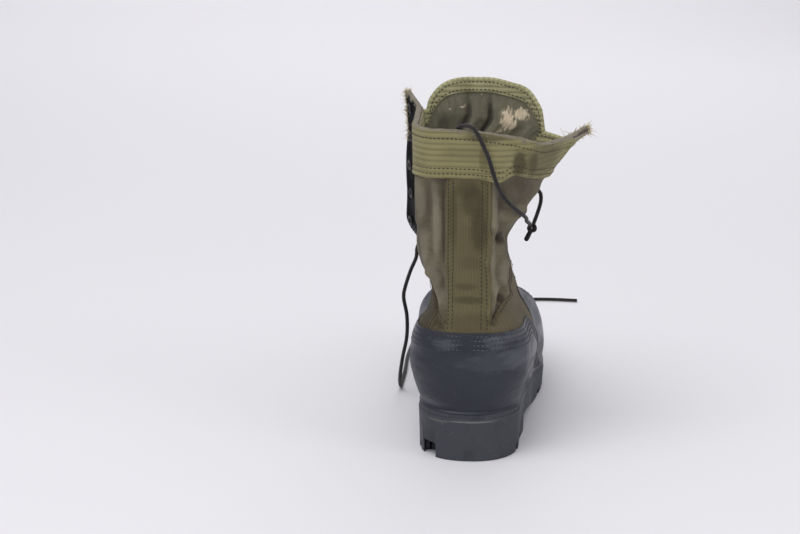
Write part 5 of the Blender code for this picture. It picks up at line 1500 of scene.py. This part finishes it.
def stitch(bm, points, outs, length=0.0021, pitch=0.0031, thick=0.00042):
    """A row of stitches along a line of points, each a short bead sunk in the surface."""
    row = bmesh.new()
    lengths = np.concatenate([[0.0], np.cumsum(np.linalg.norm(np.diff(points, axis=0), axis=1))])
    for middle in np.arange(pitch, lengths[-1] - pitch / 2, pitch):
        a, b, out = (np.array([np.interp(x, lengths, source[:, k]) for k in range(3)]) for x, source in (
            (middle - length / 2, points), (middle + length / 2, points), (middle, outs)))
        heading = Vector(b - a).normalized()
        up = Vector(out).normalized()
        side = heading.cross(up).normalized()
        turned = Matrix((heading, side, side.cross(heading) * -1)).transposed().to_4x4()
        place = Matrix.Translation(Vector((a + b) / 2)) @ turned
        size = Matrix.Diagonal((length / 2, thick, thick * 0.8, 1.0))
        bmesh.ops.create_uvsphere(row, u_segments=6, v_segments=4, radius=1.0, matrix=place @ size)
    bmesh.ops.recalc_face_normals(row, faces=row.faces)
    join(bm, row)


leather_rows = bmesh.new()
for k in range(4):
    places = np.linspace(-0.60, 0.60, 150)
    at = ring_where(places, lambda points, _: counter_level(points) - 0.0030 - 0.0031 * k)
    stitch(leather_rows, *on_skin(at, places, LIFT + 0.0001))
for side in (-1, 1):
    for inset in (0.0030, 0.0055):
        rings = np.linspace(VAMP_AT + 0.02, 0.99, 90)
        for place in (EYESTAY_EDGE + inset / HALF_GIRTH, 1.0 - inset / HALF_GIRTH * 0.9):
            if inset < 0.004 or place < 0.9:
                stitch(leather_rows, *on_skin(rings, np.full_like(rings, side * place), LIFT + 0.0001))
        places = side * np.linspace(0.60, EYESTAY_EDGE, 60)
        at = ring_where(places, lambda points, _: line_height(VAMP_SLOPE, points[..., 1]) - inset)
        stitch(leather_rows, *on_skin(at, places, LIFT + 0.0001))
stand_in(add_piece("leather_stitches", leather_rows, WAXED_THREAD), "lace")

cloth_rows = bmesh.new()
rings = np.linspace(0.30, BAND_AT - 0.006, 120)
for distance in (-0.0150, -0.0118, 0.0090, 0.0132):
    places = strip_across(rings, distance)
    points, outs = on_skin(rings, places, WEB_LIFT + 0.0001)
    above = points[:, 2] > line_height(COUNTER_TOP, points[:, 1])
    stitch(cloth_rows, points[above], outs[above])
places = np.linspace(-EYESTAY_EDGE + 0.01, 0.985, 200)
for at in (np.full_like(places, 0.982), band_low(places) + 0.010, band_low(places) + 0.022):
    stitch(cloth_rows, *on_skin(at, places, band_lift(places) + 0.0001))
for side in (-1, 1):
    places = side * np.linspace(0.0165 / HALF_GIRTH, 0.55, 80)
    at = ring_where(places, lambda points, across: band_top(points, across) - 0.0025)
    stitch(cloth_rows, *on_skin(at, places, WEB_LIFT + 0.0001))
places = np.linspace(-0.98, 0.98, 220)
for inset in (0.012, 0.044):
    stitch(cloth_rows, *on_tongue(tongue_top(places) - inset, places, BINDING_THICKNESS + 0.0002))
stand_in(add_piece("cloth_stitches", cloth_rows, DARK_THREAD), "lace")

# Frayed corners
# At both upper corners the turned edge has come apart into tufts of pale cotton threads, each a
# little curled. They are still held by the weave at their roots.
def fibre_finish():
    fibre = Finish("loose threads", (0.62, 0.51, 0.27), 0.9, flat=False)
    fibre.tint(fibre.noise(700.0, low=0.45, high=0.60), (0.24, 0.18, 0.11), 0.8)
    fibre.tint(fibre.noise(500.0, low=0.50, high=0.62, seed=4.0), (0.72, 0.68, 0.55), 0.7)
    return fibre.done(specular=0.1, sheen=0.3)


FIBRE = fibre_finish()
Tuft = namedtuple("Tuft", "side low high threads length lean")
chance = random.Random(5)
bm = bmesh.new()
for tuft in (Tuft(1, 0.935, 1.0, 1100, 0.0046, (0.5, 0.0, -0.1)),
             Tuft(-1, 0.900, 1.0, 650, 0.0040, (-0.35, -0.2, 0.8))):
    for _ in range(tuft.threads):
        at = chance.uniform(tuft.low, tuft.high)
        across = tuft.side * chance.uniform(0.975, 1.0)
        start, out = place_on(at, across)
        start = start + out * chance.uniform(-CANVAS_WALL, LEATHER)
        lean = Vector(tuft.lean) + Vector([chance.gauss(0, 0.40) for _ in range(3)])
        curl = Vector([chance.gauss(0, 0.45) for _ in range(3)])
        length = tuft.length * chance.uniform(0.35, 1.0)
        points = [start + lean.normalized() * length * t + curl * length * t * t
                  for t in (0.0, 0.35, 0.7, 1.0)]
        thread = bmesh.new()
        sweep(thread, points, [0.00024, 0.00022, 0.00018, 0.00010], sides=4)
        join(bm, thread)
stand_in(add_piece("frayed_threads", bm, FIBRE), "canvas")
